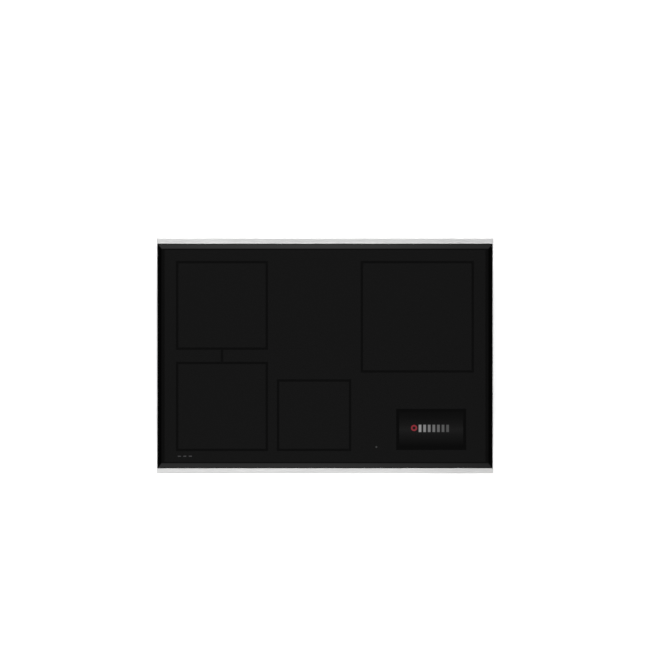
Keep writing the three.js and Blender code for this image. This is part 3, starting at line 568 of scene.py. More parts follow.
def plastic_finish(name, dark, pale, rough=0.5, grain=900.0, depth=0.00004, **values):
    """Moulded plastic between two near tones."""
    made, tree, surface = new_finish(name, **values)
    place = place_in(tree)
    mould = use(tree, moulding, Place=place, Scale=grain)
    marks = use(tree, handling, Place=place, Scale=24.0)
    tone = ramp(tree, mould["Flow"], [(0.3, dark), (0.7, pale)])
    dust = tuple(0.25 + 0.7 * level for level in pale)
    tone = mix(tree, times(tree, marks["Specks"], 0.06), tone, dust)
    gloss = step(tree, marks["Smear"], 0.0, 1.0, rough - 0.02, rough + 0.05)
    feed(tree, surface, tone, gloss, mould["Grain"], depth)
    return made


grey_plastic = plastic_finish("grey_moulding", (0.13, 0.14, 0.15), (0.18, 0.19, 0.2))
cable_jacket = plastic_finish("black_cable_jacket", *BLACK_TONES, 0.42, 1500.0)
dress(grey_plastic, 0.0005, "terminal_block")
dress(cable_jacket, 0.0003, "mains_harness")
low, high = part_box("terminal_block")
shape = bmesh.new()
for number in range(TERMINALS):
    x = low.x + (number + 0.5) * (high.x - low.x) / TERMINALS
    for share in (TERMINAL_ROW, 1 - TERMINAL_ROW):
        y = low.y * (1 - share) + high.y * share
        pan_head(shape, Matrix.Translation((x, y, high.z - WELL_DEPTH)), *TERMINAL_SCREW)
piece("terminal_screws", shape, "plated_steel", plated)

# ---- Conduit connector ----
# A die-cast squeeze connector for flexible conduit. Its thread passes through the pocket's wall and a steel
# locknut holds it from inside; two screws close its saddle on the conduit.
LOCKNUT = {"bore": 0.0109, "outer": 0.0148, "thick": 0.0026, "lugs": 8, "lug_cut": 0.09, "seat": 0.0015}
SADDLE_SCREW = (0.003, 0.0022)
SADDLE_SCREW_Z = 0.0128  # over the connector's middle
ROUND = 48  # corners of a smooth ring


def cast_finish():
    """Die-cast zinc: satin grey with the faint cold-flow skin of the die."""
    made, tree, surface = new_finish("die_cast_zinc", Metallic=0.9)
    place = place_in(tree)
    mould = use(tree, moulding, Place=place, Scale=1200.0)
    marks = use(tree, handling, Place=place, Scale=45.0)
    tone = ramp(tree, mould["Flow"], [(0.3, (0.4, 0.41, 0.43)), (0.7, (0.56, 0.57, 0.58))])
    gloss = step(tree, marks["Smear"], 0.0, 1.0, 0.36, 0.56)
    feed(tree, surface, tone, gloss, mould["Grain"], 0.00006)
    return made


def band(shape, loops):
    """Faces between loops of points, the last of which joins the first."""
    corners = [[shape.verts.new(point) for point in loop] for loop in loops]
    for one, other in zip(corners, corners[1:] + corners[:1]):
        for i in range(len(one)):
            shape.faces.new([one[i], one[i - 1], other[i - 1], other[i]])


dress(cast_finish(), 0.0006, "conduit_connector")
low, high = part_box("conduit_connector")
middle = (low + high) / 2
nut = LOCKNUT
inward = Matrix.Translation((low.x + nut["seat"], middle.y, middle.z)) @ Matrix.Rotation(-math.pi / 2, 4, "Y")
shape = bmesh.new()
rings = []
for radius, level in ((nut["bore"], 0), ("outer", 0), ("outer", nut["thick"]), (nut["bore"], nut["thick"])):
    ring = []
    for i in range(ROUND):
        turn = 2 * math.pi * i / ROUND
        lug = 1 - nut["lug_cut"] * (0.5 + 0.5 * math.cos(nut["lugs"] * turn)) ** 3
        reach = nut["outer"] * lug if radius == "outer" else radius
        ring.append(inward @ Vector((reach * math.cos(turn), reach * math.sin(turn), level)))
    rings.append(ring)
band(shape, rings)
piece("conduit_locknut", shape, "plated_steel", plated)
shape = bmesh.new()
for x in (high.x - 0.014, high.x - 0.026):
    pan_head(shape, Matrix.Translation((x, middle.y, middle.z + SADDLE_SCREW_Z)), *SADDLE_SCREW)
piece("conduit_clamp_screws", shape, "plated_steel", plated)

# ---- Boards ----
# Glass-fibre boards under green solder mask, screwed to pressed-up bosses in the floor: a power stage on
# each side, the mains filter in the middle and the low-voltage supply at the front.
BOARD_EDGE = 0.0002
BOARD_SCREW = (0.0026, 0.0018)
PART_CORNER = 0.001
PART_EDGE = 0.0006
POWER_INSET = 0.008
SMALL_INSET = 0.007
MASK_GREEN = (0.006, 0.07, 0.028)
TRACK_GREEN = (0.02, 0.15, 0.06)


def board_finish():
    """Solder mask over copper tracks, with tinned pads, and near-black spots that are painted shade for
    drilled holes.
    """
    made, tree, surface = new_finish("solder_mask", Coat_Weight=0.4, Coat_Roughness=0.2)
    place = place_in(tree)
    flat = {"voronoi_dimensions": "2D"}
    cells = add(tree, "TexVoronoi", {"Vector": place, "Scale": 170.0}, feature="DISTANCE_TO_EDGE", **flat)
    squares = add(tree, "TexVoronoi", {"Vector": place, "Scale": 95.0}, distance="MANHATTAN", **flat)
    tracks = step(tree, cells.outputs["Distance"], 0.05, 0.09)
    pads = step(tree, squares.outputs["Distance"], 0.16, 0.12)
    # Near-black spots at the pads' middles: painted shade where drilled holes would be.
    hole_shade = step(tree, squares.outputs["Distance"], 0.07, 0.05)
    tone = mix(tree, tracks, TRACK_GREEN, MASK_GREEN)
    tone = mix(tree, pads, tone, (0.55, 0.53, 0.45))
    tone = mix(tree, hole_shade, tone, (0.01, 0.01, 0.01))
    rough = step(tree, pads, 0.0, 1.0, 0.42, 0.28)
    feed(tree, surface, tone, rough, calc(tree, "SUBTRACT", pads, tracks), 0.00005)
    return made


def tube(shape, path, radius, sides=10, finish=0, tall=None):
    """A round wire along a path; tall gives it another height, for a path that lies flat."""
    points = [Vector(point) for point in path]
    ways = [(b - a).normalized() for a, b in zip(points, points[1:])]
    ways = [ways[0]] + [(a + b).normalized() for a, b in zip(ways, ways[1:])] + [ways[-1]]
    side = ways[0].cross(Vector((0, 0, 1)) if abs(ways[0].z) < 0.9 else Vector((1, 0, 0))).normalized()
    loops = []
    for point, way in zip(points, ways):
        side = (side - way * side.dot(way)).normalized()
        up = side.cross(way)
        loop = []
        for i in range(sides):
            turn = 2 * math.pi * i / sides
            loop.append(point + side * radius * math.cos(turn) + up * (tall or radius) * math.sin(turn))
        loops.append(loop)
    skin(shape, loops, finish)


def standing_part(shape, kind, x, y, base, size, finish):
    """One component on a board: a moulded box, a round can or a disc on its edge."""
    wide, deep, tall = size
    if kind == "box":
        low, high = (x - wide / 2, y - deep / 2, base), (x + wide / 2, y + deep / 2, base + tall)
        slab(shape, low, high, PART_CORNER, PART_EDGE, finish)
        return
    if kind == "can":
        r = wide / 2
        outline = [(0, 0), (r, 0), (r, tall * 0.08), (r * 0.94, tall * 0.11), (r, tall * 0.14)]
        outline += [(r, tall - 0.001), (r - 0.001, tall), (r * 0.7, tall)]
        outline += [(r * 0.68, tall - 0.0004), (0, tall - 0.0004)]
        turned(shape, outline, Matrix.Translation((x, y, base)), 28, finish)
        return
    r = tall / 2
    outline = [(0, -deep / 2), (r * 0.8, -deep / 2), (r, -deep / 5)]
    outline += [(r, deep / 5), (r * 0.8, deep / 2), (0, deep / 2)]
    turned(shape, outline, facing((x, y, base + r), (0, 1, 0)), 24, finish)


def populate(name, board, parts, mirror=1):
    """Fits a board's components. Places are from the board's inner front corner, in metres."""
    low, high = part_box(board)
    inner = low.x if mirror == 1 else high.x
    shape = bmesh.new()
    for kind, x, y, size, finish in parts:
        standing_part(shape, kind, inner + mirror * x, low.y + y, high.z, size, part_finishes.index(finish))
    piece(name, shape, "black_plastic", *part_finishes)


board_green = board_finish()
black_plastic = plastic_finish("black_moulding", *BLACK_TONES, 0.46)
blue_plastic = plastic_finish("capacitor_case", (0.012, 0.05, 0.16), (0.02, 0.075, 0.22), 0.3)
cream_plastic = plastic_finish("cream_moulding", (0.66, 0.62, 0.5), (0.76, 0.72, 0.6), 0.48)
boards = ["generator_board_left", "generator_board_right", "filter_board", "supply_board"]
dress(board_green, BOARD_EDGE, *boards)
dress(blue_plastic, 0.0012, "bus_capacitor_left", "bus_capacitor_right")
shape = bmesh.new()
for board, inset in zip(boards, (POWER_INSET, POWER_INSET, SMALL_INSET, SMALL_INSET)):
    low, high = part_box(board)
    for x in (low.x + inset, high.x - inset):
        for y in (low.y + inset, high.y - inset):
            pan_head(shape, Matrix.Translation((x, y, high.z)), *BOARD_SCREW)
piece("board_screws", shape, "plated_steel", plated)
part_finishes = [black_plastic, blue_plastic, cream_plastic, plated, grey_plastic]
power_parts = [("box", 0.02 + 0.036 * i, 0.2265, (0.016, 0.005, 0.021), black_plastic) for i in range(4)]
power_parts += [("can", 0.178 + 0.016 * i, 0.12, (0.013, 0.013, 0.024), black_plastic) for i in range(2)]
power_parts += [("box", 0.03 + 0.04 * i, 0.175, (0.032, 0.018, 0.024), blue_plastic) for i in range(3)]
power_parts += [("box", 0.03 + 0.055 * i, 0.012, (0.03, 0.009, 0.011), cream_plastic) for i in range(3)]
power_parts += [("box", 0.06, 0.045, (0.014, 0.014, 0.0016), black_plastic)]
power_parts += [("box", 0.1 + 0.018 * i, 0.045, (0.01, 0.006, 0.0016), black_plastic) for i in range(4)]
power_parts += [("box", 0.185, 0.18, (0.022, 0.02, 0.02), grey_plastic)]
power_parts += [("box", 0.19, 0.27, (0.012, 0.03, 0.012), plated)]
power_parts += [("disc", 0.14, 0.13, (0.012, 0.004, 0.014), blue_plastic)]
power_parts += [("can", 0.03 + 0.02 * i, 0.305, (0.01, 0.01, 0.014), plated) for i in range(5)]
populate("power_parts_right", "generator_board_right", power_parts)
populate("power_parts_left", "generator_board_left", power_parts, -1)
filter_parts = [("box", x, 0.03, (0.026, 0.012, 0.02), blue_plastic) for x in (0.095, 0.13)]
filter_parts += [
    ("box", 0.02, 0.013, (0.024, 0.01, 0.012), cream_plastic),
    ("disc", 0.06, 0.013, (0.014, 0.004, 0.016), blue_plastic),
    ("box", 0.09, 0.09, (0.028, 0.013, 0.015), black_plastic),
    ("can", 0.13, 0.085, (0.016, 0.016, 0.022), black_plastic),
]
populate("filter_parts", "filter_board", filter_parts)
supply_parts = [
    ("box", 0.04, 0.04, (0.03, 0.026, 0.006), cream_plastic),
    ("box", 0.04, 0.04, (0.024, 0.03, 0.022), black_plastic),
]
supply_parts += [("can", 0.075 + 0.018 * i, 0.06, (0.012, 0.012, 0.02), black_plastic) for i in range(3)]
supply_parts += [("box", 0.09 + 0.02 * i, 0.035, (0.01, 0.007, 0.0018), black_plastic) for i in range(3)]
supply_parts += [
    ("box", 0.14, 0.012, (0.03, 0.008, 0.009), cream_plastic),
    ("box", 0.1, 0.012, (0.02, 0.008, 0.009), cream_plastic),
]
populate("supply_parts", "supply_board", supply_parts)

# ---- Heat sinks ----
# Extruded aluminium fins, open along the blowers' air line. Each stands on its power board and carries the
# power transistors on its front.


def aluminium_finish(name, along, dark=0.56, pale=0.7):
    """Mill-finish aluminium with lines along the rolling or extrusion."""
    made, tree, surface = new_finish(name, Metallic=1.0)
    place = place_in(tree)
    lines = use(tree, brushing, Place=place, Along=along)
    marks = use(tree, handling, Place=place, Scale=12.0)
    tone = ramp(tree, lines["Streaks"], [(0.3, (dark, dark, dark + 0.01)), (0.7, (pale, pale, pale + 0.01))])
    tone = mix(tree, times(tree, marks["Smear"], 0.25), tone, (0.5, 0.5, 0.51))
    feed(tree, surface, tone, step(tree, lines["Lines"], 0.2, 0.8, 0.34, 0.48), lines["Lines"], 0.00003)
    return made


dress(aluminium_finish("extruded_aluminium", (8, 900, 900)), 0.0003, "heat_sink_left", "heat_sink_right")

# ---- Filter choke ----
# A ferrite ring with two windings of thick enamelled copper wire, which keeps the generators' noise out of
# the mains.
CHOKE_TURNS = 15
CHOKE_WIRE = 0.0011
CORE_OUTLINE = [(0.75, -1), (1, -0.75), (1, 0.75), (0.75, 1)]
CORE_OUTLINE += [(-0.75, 1), (-1, 0.75), (-1, -0.75), (-0.75, -1)]
TURN_STEPS = 16
WINDING_START = 0.1  # shares of half the ring
WINDING_SPAN = 0.8


def ferrite_finish():
    """Sintered ferrite: charcoal grey, matt, with fine pores."""
    made, tree, surface = new_finish("sintered_ferrite", Specular_IOR_Level=0.4)
    place = place_in(tree)
    pores = add(tree, "TexVoronoi", {"Vector": place, "Scale": 900.0}).outputs["Distance"]
    mould = use(tree, moulding, Place=place, Scale=500.0)
    tone = ramp(tree, mould["Flow"], [(0.3, (0.03, 0.03, 0.033)), (0.7, (0.055, 0.055, 0.06))])
    feed(tree, surface, tone, step(tree, pores, 0.0, 0.6, 0.75, 0.5), pores, 0.00008)
    return made


def enamel_finish():
    """Enamelled copper wire: deep amber gloss."""
    made, tree, surface = new_finish("enamelled_copper", Metallic=0.85, Coat_Weight=0.6, Coat_Roughness=0.15)
    lines = use(tree, brushing, Place=place_in(tree), Along=(800, 800, 800))
    tone = ramp(tree, lines["Streaks"], [(0.3, (0.36, 0.11, 0.03)), (0.7, (0.56, 0.21, 0.07))])
    feed(tree, surface, tone, step(tree, lines["Lines"], 0.2, 0.8, 0.24, 0.36))
    return made


ferrite = ferrite_finish()
copper_wire = enamel_finish()
low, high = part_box("filter_choke")
middle = (low + high) / 2
thick = (high.z - low.z) / 2 - 2 * CHOKE_WIRE
ring = (high.x - low.x) / 2 - thick - 2 * CHOKE_WIRE
shape = bmesh.new()
loops = []
for i in range(ROUND):
    turn = 2 * math.pi * i / ROUND
    out = Vector((math.cos(turn), math.sin(turn), 0))
    loops.append([out * (ring + a * thick) + Vector((0, 0, b * thick)) for a, b in CORE_OUTLINE])
band(shape, loops)
core = piece("choke_core", shape, "ferrite", ferrite, middle=middle)
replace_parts(core, "filter_choke")
shape = bmesh.new()
for half in (0, 1):
    path = []
    steps = CHOKE_TURNS * TURN_STEPS
    for i in range(steps + 1):
        turn = math.pi * (half + WINDING_START + WINDING_SPAN * i / steps)
        wrap = 2 * math.pi * CHOKE_TURNS * i / steps
        a, b = math.cos(wrap), math.sin(wrap)
        square = (thick + CHOKE_WIRE * 1.1) / max(abs(a), abs(b)) ** 0.75
        out = Vector((math.cos(turn), math.sin(turn), 0))
        path.append(out * (ring + a * square) + Vector((0, 0, b * square)))
    tube(shape, path, CHOKE_WIRE, 8)
winding = piece("choke_windings", shape, "litz_copper", copper_wire, middle=middle)
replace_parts(winding, "filter_choke")

# ---- Blowers ----
# Two radial blowers that draw air through the floor and blow it along the heat sinks. Each has a moulded
# scroll housing, a motor in a steel can hung from its roof, and a wheel with forward-curved blades.
dress(black_plastic, 0.0006, "blower_housing_left", "blower_housing_right")
dress(plated, 0.0005, "blower_motor_left", "blower_motor_right")
dress(grey_plastic, 0.0002, "blower_impeller_left", "blower_impeller_right")

# ---- Coil plate ----
# A sheet of aluminium on four folded legs, which carries the coils and shields the electronics from their
# field. Its mill finish shows lines along the rolling.
dress(aluminium_finish("rolled_aluminium", (5, 700, 700)), 0.0003, "coil_plate")

# ---- Coils ----
# Each zone has a moulded carrier with bars of ferrite under it and a flat spiral of stranded copper on top;
# the large zone has two spirals. In the middle a sprung sensor is pressed up against the glass.
WINDING_BORE = 0.022
WINDING_GAP = 0.006
LITZ_PITCH = 0.0049
STRANDS = 150
WIRE_FILL = 0.97  # the wire's share of its pitch
STEPS_A_TURN = 64
# The copper's tones across a strand, with painted shade darkest in the grooves between strands.
COPPER_TONES_WITH_GROOVE_SHADE = [(0.0, (0.16, 0.05, 0.018)), (0.6, (0.5, 0.2, 0.085)), (1.0, (0.62, 0.28, 0.13))]
SPRING = {"radius": 0.0046, "wire": 0.00045, "turns": 7, "steps": 20, "flat": 0.08, "seat": 0.003}


def litz_finish():
    """Hundreds of enamelled strands twisted into one wire: their slant shows as fine ridges, and painted
    shade darkens the grooves between them.
    """
    made, tree, surface = new_finish("stranded_copper", Metallic=0.8)
    place = place_in(tree)
    spot = add(tree, "SeparateXYZ", {0: place}).outputs
    round_it = calc(tree, "ARCTAN2", spot["Y"], spot["X"])
    out = add(tree, "VectorMath", {0: stretch(tree, place, (1, 1, 0))}, operation="LENGTH").outputs["Value"]
    twist = times(tree, round_it, float(STRANDS))
    slant = calc(tree, "ADD", twist, times(tree, out, 2 * math.pi / LITZ_PITCH))
    ridge = calc(tree, "ADD", times(tree, calc(tree, "SINE", slant), 0.5), 0.5)
    lines = use(tree, brushing, Place=place, Along=(900, 900, 900))
    # The colour follows the ridges, so the grooves between strands carry painted shade.
    tone = ramp(tree, ridge, COPPER_TONES_WITH_GROOVE_SHADE)
    tone = mix(tree, times(tree, lines["Streaks"], 0.3), tone, (0.42, 0.16, 0.06))
    feed(tree, surface, tone, step(tree, lines["Lines"], 0.2, 0.8, 0.3, 0.46), ridge, 0.0003)
    return made


def ceramic_finish():
    """Unglazed sensor ceramic: off-white, chalky."""
    made, tree, surface = new_finish("sensor_ceramic", Specular_IOR_Level=0.3)
    mould = use(tree, moulding, Place=place_in(tree), Scale=2200.0)
    tone = ramp(tree, mould["Flow"], [(0.3, (0.7, 0.67, 0.6)), (0.7, (0.8, 0.78, 0.72))])
    feed(tree, surface, tone, step(tree, mould["Grain"], 0.3, 0.7, 0.7, 0.85), mould["Grain"], 0.00005)
    return made


def spiral(name, node, inner):
    """One flat winding that replaces its plain ring."""
    low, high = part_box(node)
    middle = (low + high) / 2
    tall = (high.z - low.z) / 2 * 0.98
    half_wire = LITZ_PITCH / 2 * WIRE_FILL
    start, end = inner + half_wire, (high.x - low.x) / 2 - half_wire
    turns = (end - start) / LITZ_PITCH
    count = int(turns * STEPS_A_TURN)
    path = []
    for i in range(count + 1):
        turn = 2 * math.pi * turns * i / count
        reach = start + (end - start) * i / count
        path.append((reach * math.cos(turn), reach * math.sin(turn), 0))
    shape = bmesh.new()
    tube(shape, path, half_wire, 10, tall=tall)
    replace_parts(piece(name, shape, "litz_copper", litz, middle=middle), node)


litz = litz_finish()
zones = ["left_rear", "left_front", "centre_front", "right_rear"]
dress(cream_plastic, 0.0006, *[f"coil_carrier_{zone}" for zone in zones])
dress(ferrite, 0.0005, *[f"ferrite_star_{zone}" for zone in zones])
dress(ceramic_finish(), 0.0004, *[f"heat_sensor_{zone}" for zone in zones])
shape = bmesh.new()
for zone in zones:
    node = f"coil_winding_{zone}"
    inner = WINDING_BORE
    if zone == "right_rear":
        core_low, core_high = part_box(node + "_inner")
        inner = (core_high.x - core_low.x) / 2 + WINDING_GAP
        spiral("litz_spiral_right_rear_inner", node + "_inner", WINDING_BORE)
    spiral(f"litz_spiral_{zone}", node, inner)
    low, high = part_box(f"heat_sensor_{zone}")
    floor_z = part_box("coil_plate")[1].z + SPRING["wire"]
    roof_z = high.z - SPRING["seat"] - SPRING["wire"]
    path = []
    steps = SPRING["turns"] * SPRING["steps"]
    for i in range(steps + 1):
        share = i / steps
        turn = 2 * math.pi * SPRING["turns"] * share
        rise = min(max((share - SPRING["flat"]) / (1 - 2 * SPRING["flat"]), 0), 1)
        x = (low.x + high.x) / 2 + SPRING["radius"] * math.cos(turn)
        y = (low.y + high.y) / 2 + SPRING["radius"] * math.sin(turn)
        path.append((x, y, floor_z + (roof_z - floor_z) * rise))
    tube(shape, path, SPRING["wire"], 8)
piece("sensor_springs", shape, "plated_steel", plated)

# ---- Mica sheets ----
# Pressed mica, cut to size, lies between the windings and the glass, for heat and for insulation. The
# bridged pair shares one sheet.


def mica_finish():
    """Pressed mica: overlapping flakes, whose tones, lighter or darker with each flake's tilt, paint a faint
    silvery sheen.
    """
    made, tree, surface = new_finish("pressed_mica", Specular_IOR_Level=0.6)
    place = place_in(tree)
    flakes = add(tree, "TexVoronoi", {"Vector": place, "Scale": 85.0})
    tilt = add(tree, "SeparateXYZ", {0: flakes.outputs["Color"]}).outputs["X"]
    marks = use(tree, handling, Place=place, Scale=30.0)
    # Each flake's tone follows its tilt: a painted sheen.
    tone = ramp(tree, tilt, [(0.0, (0.5, 0.45, 0.36)), (0.5, (0.6, 0.56, 0.47)), (1.0, (0.7, 0.67, 0.6))])
    tone = mix(tree, times(tree, marks["Specks"], 0.3), tone, (0.4, 0.34, 0.25))
    feed(tree, surface, tone, step(tree, tilt, 0.0, 1.0, 0.3, 0.6), tilt, 0.0001)
    return made


dress(mica_finish(), 0.0001, "mica_sheet_left", "mica_sheet_centre", "mica_sheet_right")

# ---- Controls ----
# A moulded tray under the window at the right front holds the touch board. A dark display module and a soft
# sensing pad for the power key stand on the board, up against the glass.
SENSE_PADS = 8
PAD_OUTLINE = [(0, 0), (0.0036, 0), (0.0036, 0.0042), (0.0031, 0.0048), (0, 0.0048)]
CHIPS = [(0.012, 0.09, 0.012, 0.012), (0.013, 0.06, 0.008, 0.006), (0.04, 0.09, 0.006, 0.016)]
CHIP_HEIGHT = 0.0014
LIGHT_CELL = 0.0104


def display_finish():
    """The display's dark diffuser, with a grid of light cells just showing."""
    made, tree, surface = new_finish("display_diffuser", Coat_Weight=0.5, Coat_Roughness=0.1)
    place = place_in(tree)
    cells = stretch(tree, place, (1 / LIGHT_CELL, 1 / LIGHT_CELL, 0))
    grid = add(tree, "VectorMath", {0: cells}, operation="FRACTION").outputs[0]
    grid = add(tree, "SeparateXYZ", {0: grid}).outputs
    cell = times(tree, step(tree, grid["X"], 0.1, 0.2), step(tree, grid["Y"], 0.1, 0.2))
    mould = use(tree, moulding, Place=place, Scale=1600.0)
    tone = mix(tree, cell, (0.016, 0.016, 0.018), (0.04, 0.04, 0.045))
    feed(tree, surface, tone, step(tree, mould["Grain"], 0.3, 0.7, 0.3, 0.4), mould["Grain"], 0.00002)
    return made


dress(black_plastic, 0.0008, "control_tray")
dress(board_green, BOARD_EDGE, "touch_board")
dress(display_finish(), 0.0006, "display_module")
low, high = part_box("touch_board")
screen_low, screen_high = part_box("display_module")
shape = bmesh.new()
for number in range(SENSE_PADS):
    x = screen_low.x + (number + 0.5) * (screen_high.x - screen_low.x) / SENSE_PADS
    turned(shape, PAD_OUTLINE, Matrix.Translation((x, (low.y + screen_low.y) / 2, high.z)), 20)
piece("touch_pads", shape, "silicone", grey_plastic)
shape = bmesh.new()
for x, y, wide, deep in CHIPS:
    at = Vector((low.x + x, low.y + y, high.z))
    slab(shape, at, at + Vector((wide, deep, CHIP_HEIGHT)), 0.0006, 0.0002)
piece("touch_chips", shape, "black_plastic", black_plastic)

# ---- Trim ----
# Stainless bars along the front and rear, and thin stainless strips on the two sides. Each is brushed along
# its length, and has a ledge under the glass.


def stainless_finish(name, along):
    """Brushed stainless: bright, with fine lines that run along the bar."""
    made, tree, surface = new_finish(name, Metallic=1.0)
    place = place_in(tree)
    lines = use(tree, brushing, Place=place, Along=along)
    marks = use(tree, handling, Place=place, Scale=7.0)
    tone = ramp(tree, lines["Streaks"], [(0.25, (0.835, 0.835, 0.83)), (0.75, (0.925, 0.925, 0.92))])
    tone = mix(tree, times(tree, marks["Smear"], 0.12), tone, (0.8, 0.8, 0.8))
    rough = step(tree, lines["Lines"], 0.2, 0.8, 0.42, 0.58)
    feed(tree, surface, tone, rough, lines["Lines"], 0.00012)
    return made


dress(stainless_finish("stainless_brushed_across", (5, 2400, 2400)), 0.0002, "front_trim", "rear_trim")
dress(stainless_finish("stainless_brushed_in_depth", (2400, 5, 2400)), 0.0002, "left_trim", "right_trim")

# ---- Adhesive and worktop seal ----
# A bead of black silicone bonds the glass to the ledges and fills the joint round its edge. A ring of
# closed-cell foam seals the trim to the worktop.
JOINT_FILLET = 0.0006
JOINT_DROP = 0.002  # the joint's level below the glass
JOINT_SECTION = [(-0.0001, -0.0025), (-0.0001, -0.0003), (JOINT_FILLET, 0.00035), (JOINT_FILLET, -0.0025)]


def silicone_finish():
    """Cured black silicone with the ripples of the nozzle."""
    made, tree, surface = new_finish("black_silicone", Specular_IOR_Level=0.35)
    place = place_in(tree)
    mould = use(tree, moulding, Place=place, Scale=260.0)
    tone = ramp(tree, mould["Flow"], [(0.3, (0.008, 0.008, 0.008)), (0.7, (0.02, 0.02, 0.02))])
    feed(tree, surface, tone, step(tree, mould["Flow"], 0.2, 0.8, 0.42, 0.62), mould["Grain"], 0.00015)
    return made


def foam_finish():
    """Closed-cell foam: dark grey with cut cells, whose pits are darkened with painted shade."""
    made, tree, surface = new_finish("sealing_foam", Specular_IOR_Level=0.2)
    cells = add(tree, "TexVoronoi", {"Vector": place_in(tree), "Scale": 1300.0}).outputs["Distance"]
    # The tone darkens into each cell's pit: painted shade.
    tone = ramp(tree, cells, [(0.1, (0.014, 0.014, 0.015)), (0.6, (0.05, 0.05, 0.052))])
    feed(tree, surface, tone, step(tree, cells, 0.0, 0.7, 0.98, 0.8), cells, 0.0003)
    return made


silicone = silicone_finish()
dress(silicone, 0.0002, "glass_adhesive")
dress(foam_finish(), 0.0003, "worktop_gasket")
low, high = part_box("glass_panel")
edge_z = high.z - JOINT_DROP
shape = bmesh.new()
loops = []
for inset, level in JOINT_SECTION:
    x, y, z = high.x - inset, high.y - inset, edge_z + level
    loops.append([(x, y, z), (-x, y, z), (-x, -y, z), (x, -y, z)])
band(shape, loops)
piece("glass_joint", shape, "silicone", silicone)

# ---- Glass panel ----
# A plate of black glass-ceramic with ground and polished bevels. The cooking zones, the borders and the
# control window are screen-printed, with a painted highlight across the window's middle, and the window's
# ring and level bars are lit from behind.
BEVEL_X = 0.0088
BEVEL_Y = 0.0114
FIELD = 0.0046  # the printed field's grey
LINE = 0.0014  # the printed lines, darker than the field
LINE_WIDTH = 0.0054
BORDER_X = 0.0072
BORDER_Y = 0.0027
LEVEL_BARS = 7
DASHES = 3
DASH_PITCH = 0.0125
# The window's grey, from its front edge to its rear edge: its dark print, with a painted highlight that is
# brightest across its middle.
WINDOW_GREYS_WITH_PAINTED_HIGHLIGHT = [
    (0.05, 0.0004),
    (0.13, 0.0012),
    (0.35, 0.0046),
    (0.5, 0.0078),
    (0.6, 0.0052),
    (0.78, 0.0024),
    (0.95, 0.0012),
]
ZONE_MARGINS = {  # a zone's coil, and how far its printed square stands outside it
    "coil_winding_left_rear": (0.01135, 0.0078),
    "coil_winding_left_front": (0.01135, 0.0083),
    "coil_winding_centre_front": (0.01145, 0.0085),
    "coil_winding_right_rear": (0.01145, 0.0096),
}

# A printed rectangle: its outline, and everything inside it.
printed, given, result = effect(
    "printed_rectangle",
    [("Place", "Vector", (0, 0, 0)), ("Middle", "Vector", (0, 0, 0)), ("Half", "Vector", (0.1, 0.1, 0))]
    + [("Width", "Float", LINE_WIDTH), ("Blur", "Float", 0.0006)],
    [("Line", "Float"), ("Inside", "Float")],
)
away = add(printed, "VectorMath", {0: given["Place"], 1: given["Middle"]}, operation="SUBTRACT").outputs[0]
away = add(printed, "VectorMath", {0: away}, operation="ABSOLUTE").outputs[0]
away = add(printed, "VectorMath", {0: away, 1: given["Half"]}, operation="SUBTRACT").outputs[0]
past = add(printed, "SeparateXYZ", {0: away}).outputs
past = calc(printed, "MAXIMUM", past["X"], past["Y"])
inside = step(printed, past, given["Blur"], times(printed, given["Blur"], -1.0))
printed.links.new(inside, result["Inside"])
core = calc(printed, "ADD", past, given["Width"])
core = step(printed, core, given["Blur"], times(printed, given["Blur"], -1.0))
printed.links.new(calc(printed, "SUBTRACT", inside, core), result["Line"])

# A printed ring or dot.
ringed, given, result = effect(
    "printed_ring",
    [("Place", "Vector", (0, 0, 0)), ("Middle", "Vector", (0, 0, 0))]
    + [("Radius", "Float", 0.004), ("Width", "Float", 0.001)],
    [("Ring", "Float")],
)
away = add(ringed, "VectorMath", {0: given["Place"], 1: given["Middle"]}, operation="SUBTRACT").outputs[0]
away = add(ringed, "VectorMath", {0: away, 1: (1, 1, 0)}, operation="MULTIPLY").outputs[0]
away = add(ringed, "VectorMath", {0: away}, operation="LENGTH").outputs["Value"]
away = calc(ringed, "ABSOLUTE", calc(ringed, "SUBTRACT", away, given["Radius"]))
ringed.links.new(step(ringed, away, given["Width"], times(ringed, given["Width"], 0.6)), result["Ring"])


def box_middle(low, high):
    """The middle of a box, and half its size, seen from above."""
    return ((low.x + high.x) / 2, (low.y + high.y) / 2, 0), ((high.x - low.x) / 2, (high.y - low.y) / 2, 0)


def zone_lines(tree, place):
    """The four zones' outlines and the short line that joins the left pair, as one mask."""
    mask = 0.0
    reach = {}
    for coil, (margin_x, margin_y) in ZONE_MARGINS.items():
        middle, half = box_middle(*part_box(coil))
        half = (half[0] + margin_x + LINE_WIDTH / 2, half[1] + margin_y + LINE_WIDTH / 2, 0)
        line = use(tree, printed, Place=place, Middle=middle, Half=half)["Line"]
        mask = calc(tree, "MAXIMUM", mask, line)
        reach[coil] = (middle, half)
    rear, rear_half = reach["coil_winding_left_rear"]
    front, front_half = reach["coil_winding_left_front"]
    top = rear[1] - rear_half[1]
    bottom = front[1] + front_half[1]
    bridge = (LINE_WIDTH / 2, (top - bottom) / 2, 0)
    join = use(tree, printed, Place=place, Middle=(rear[0], (top + bottom) / 2, 0), Half=bridge)["Inside"]
    return calc(tree, "MAXIMUM", mask, join)


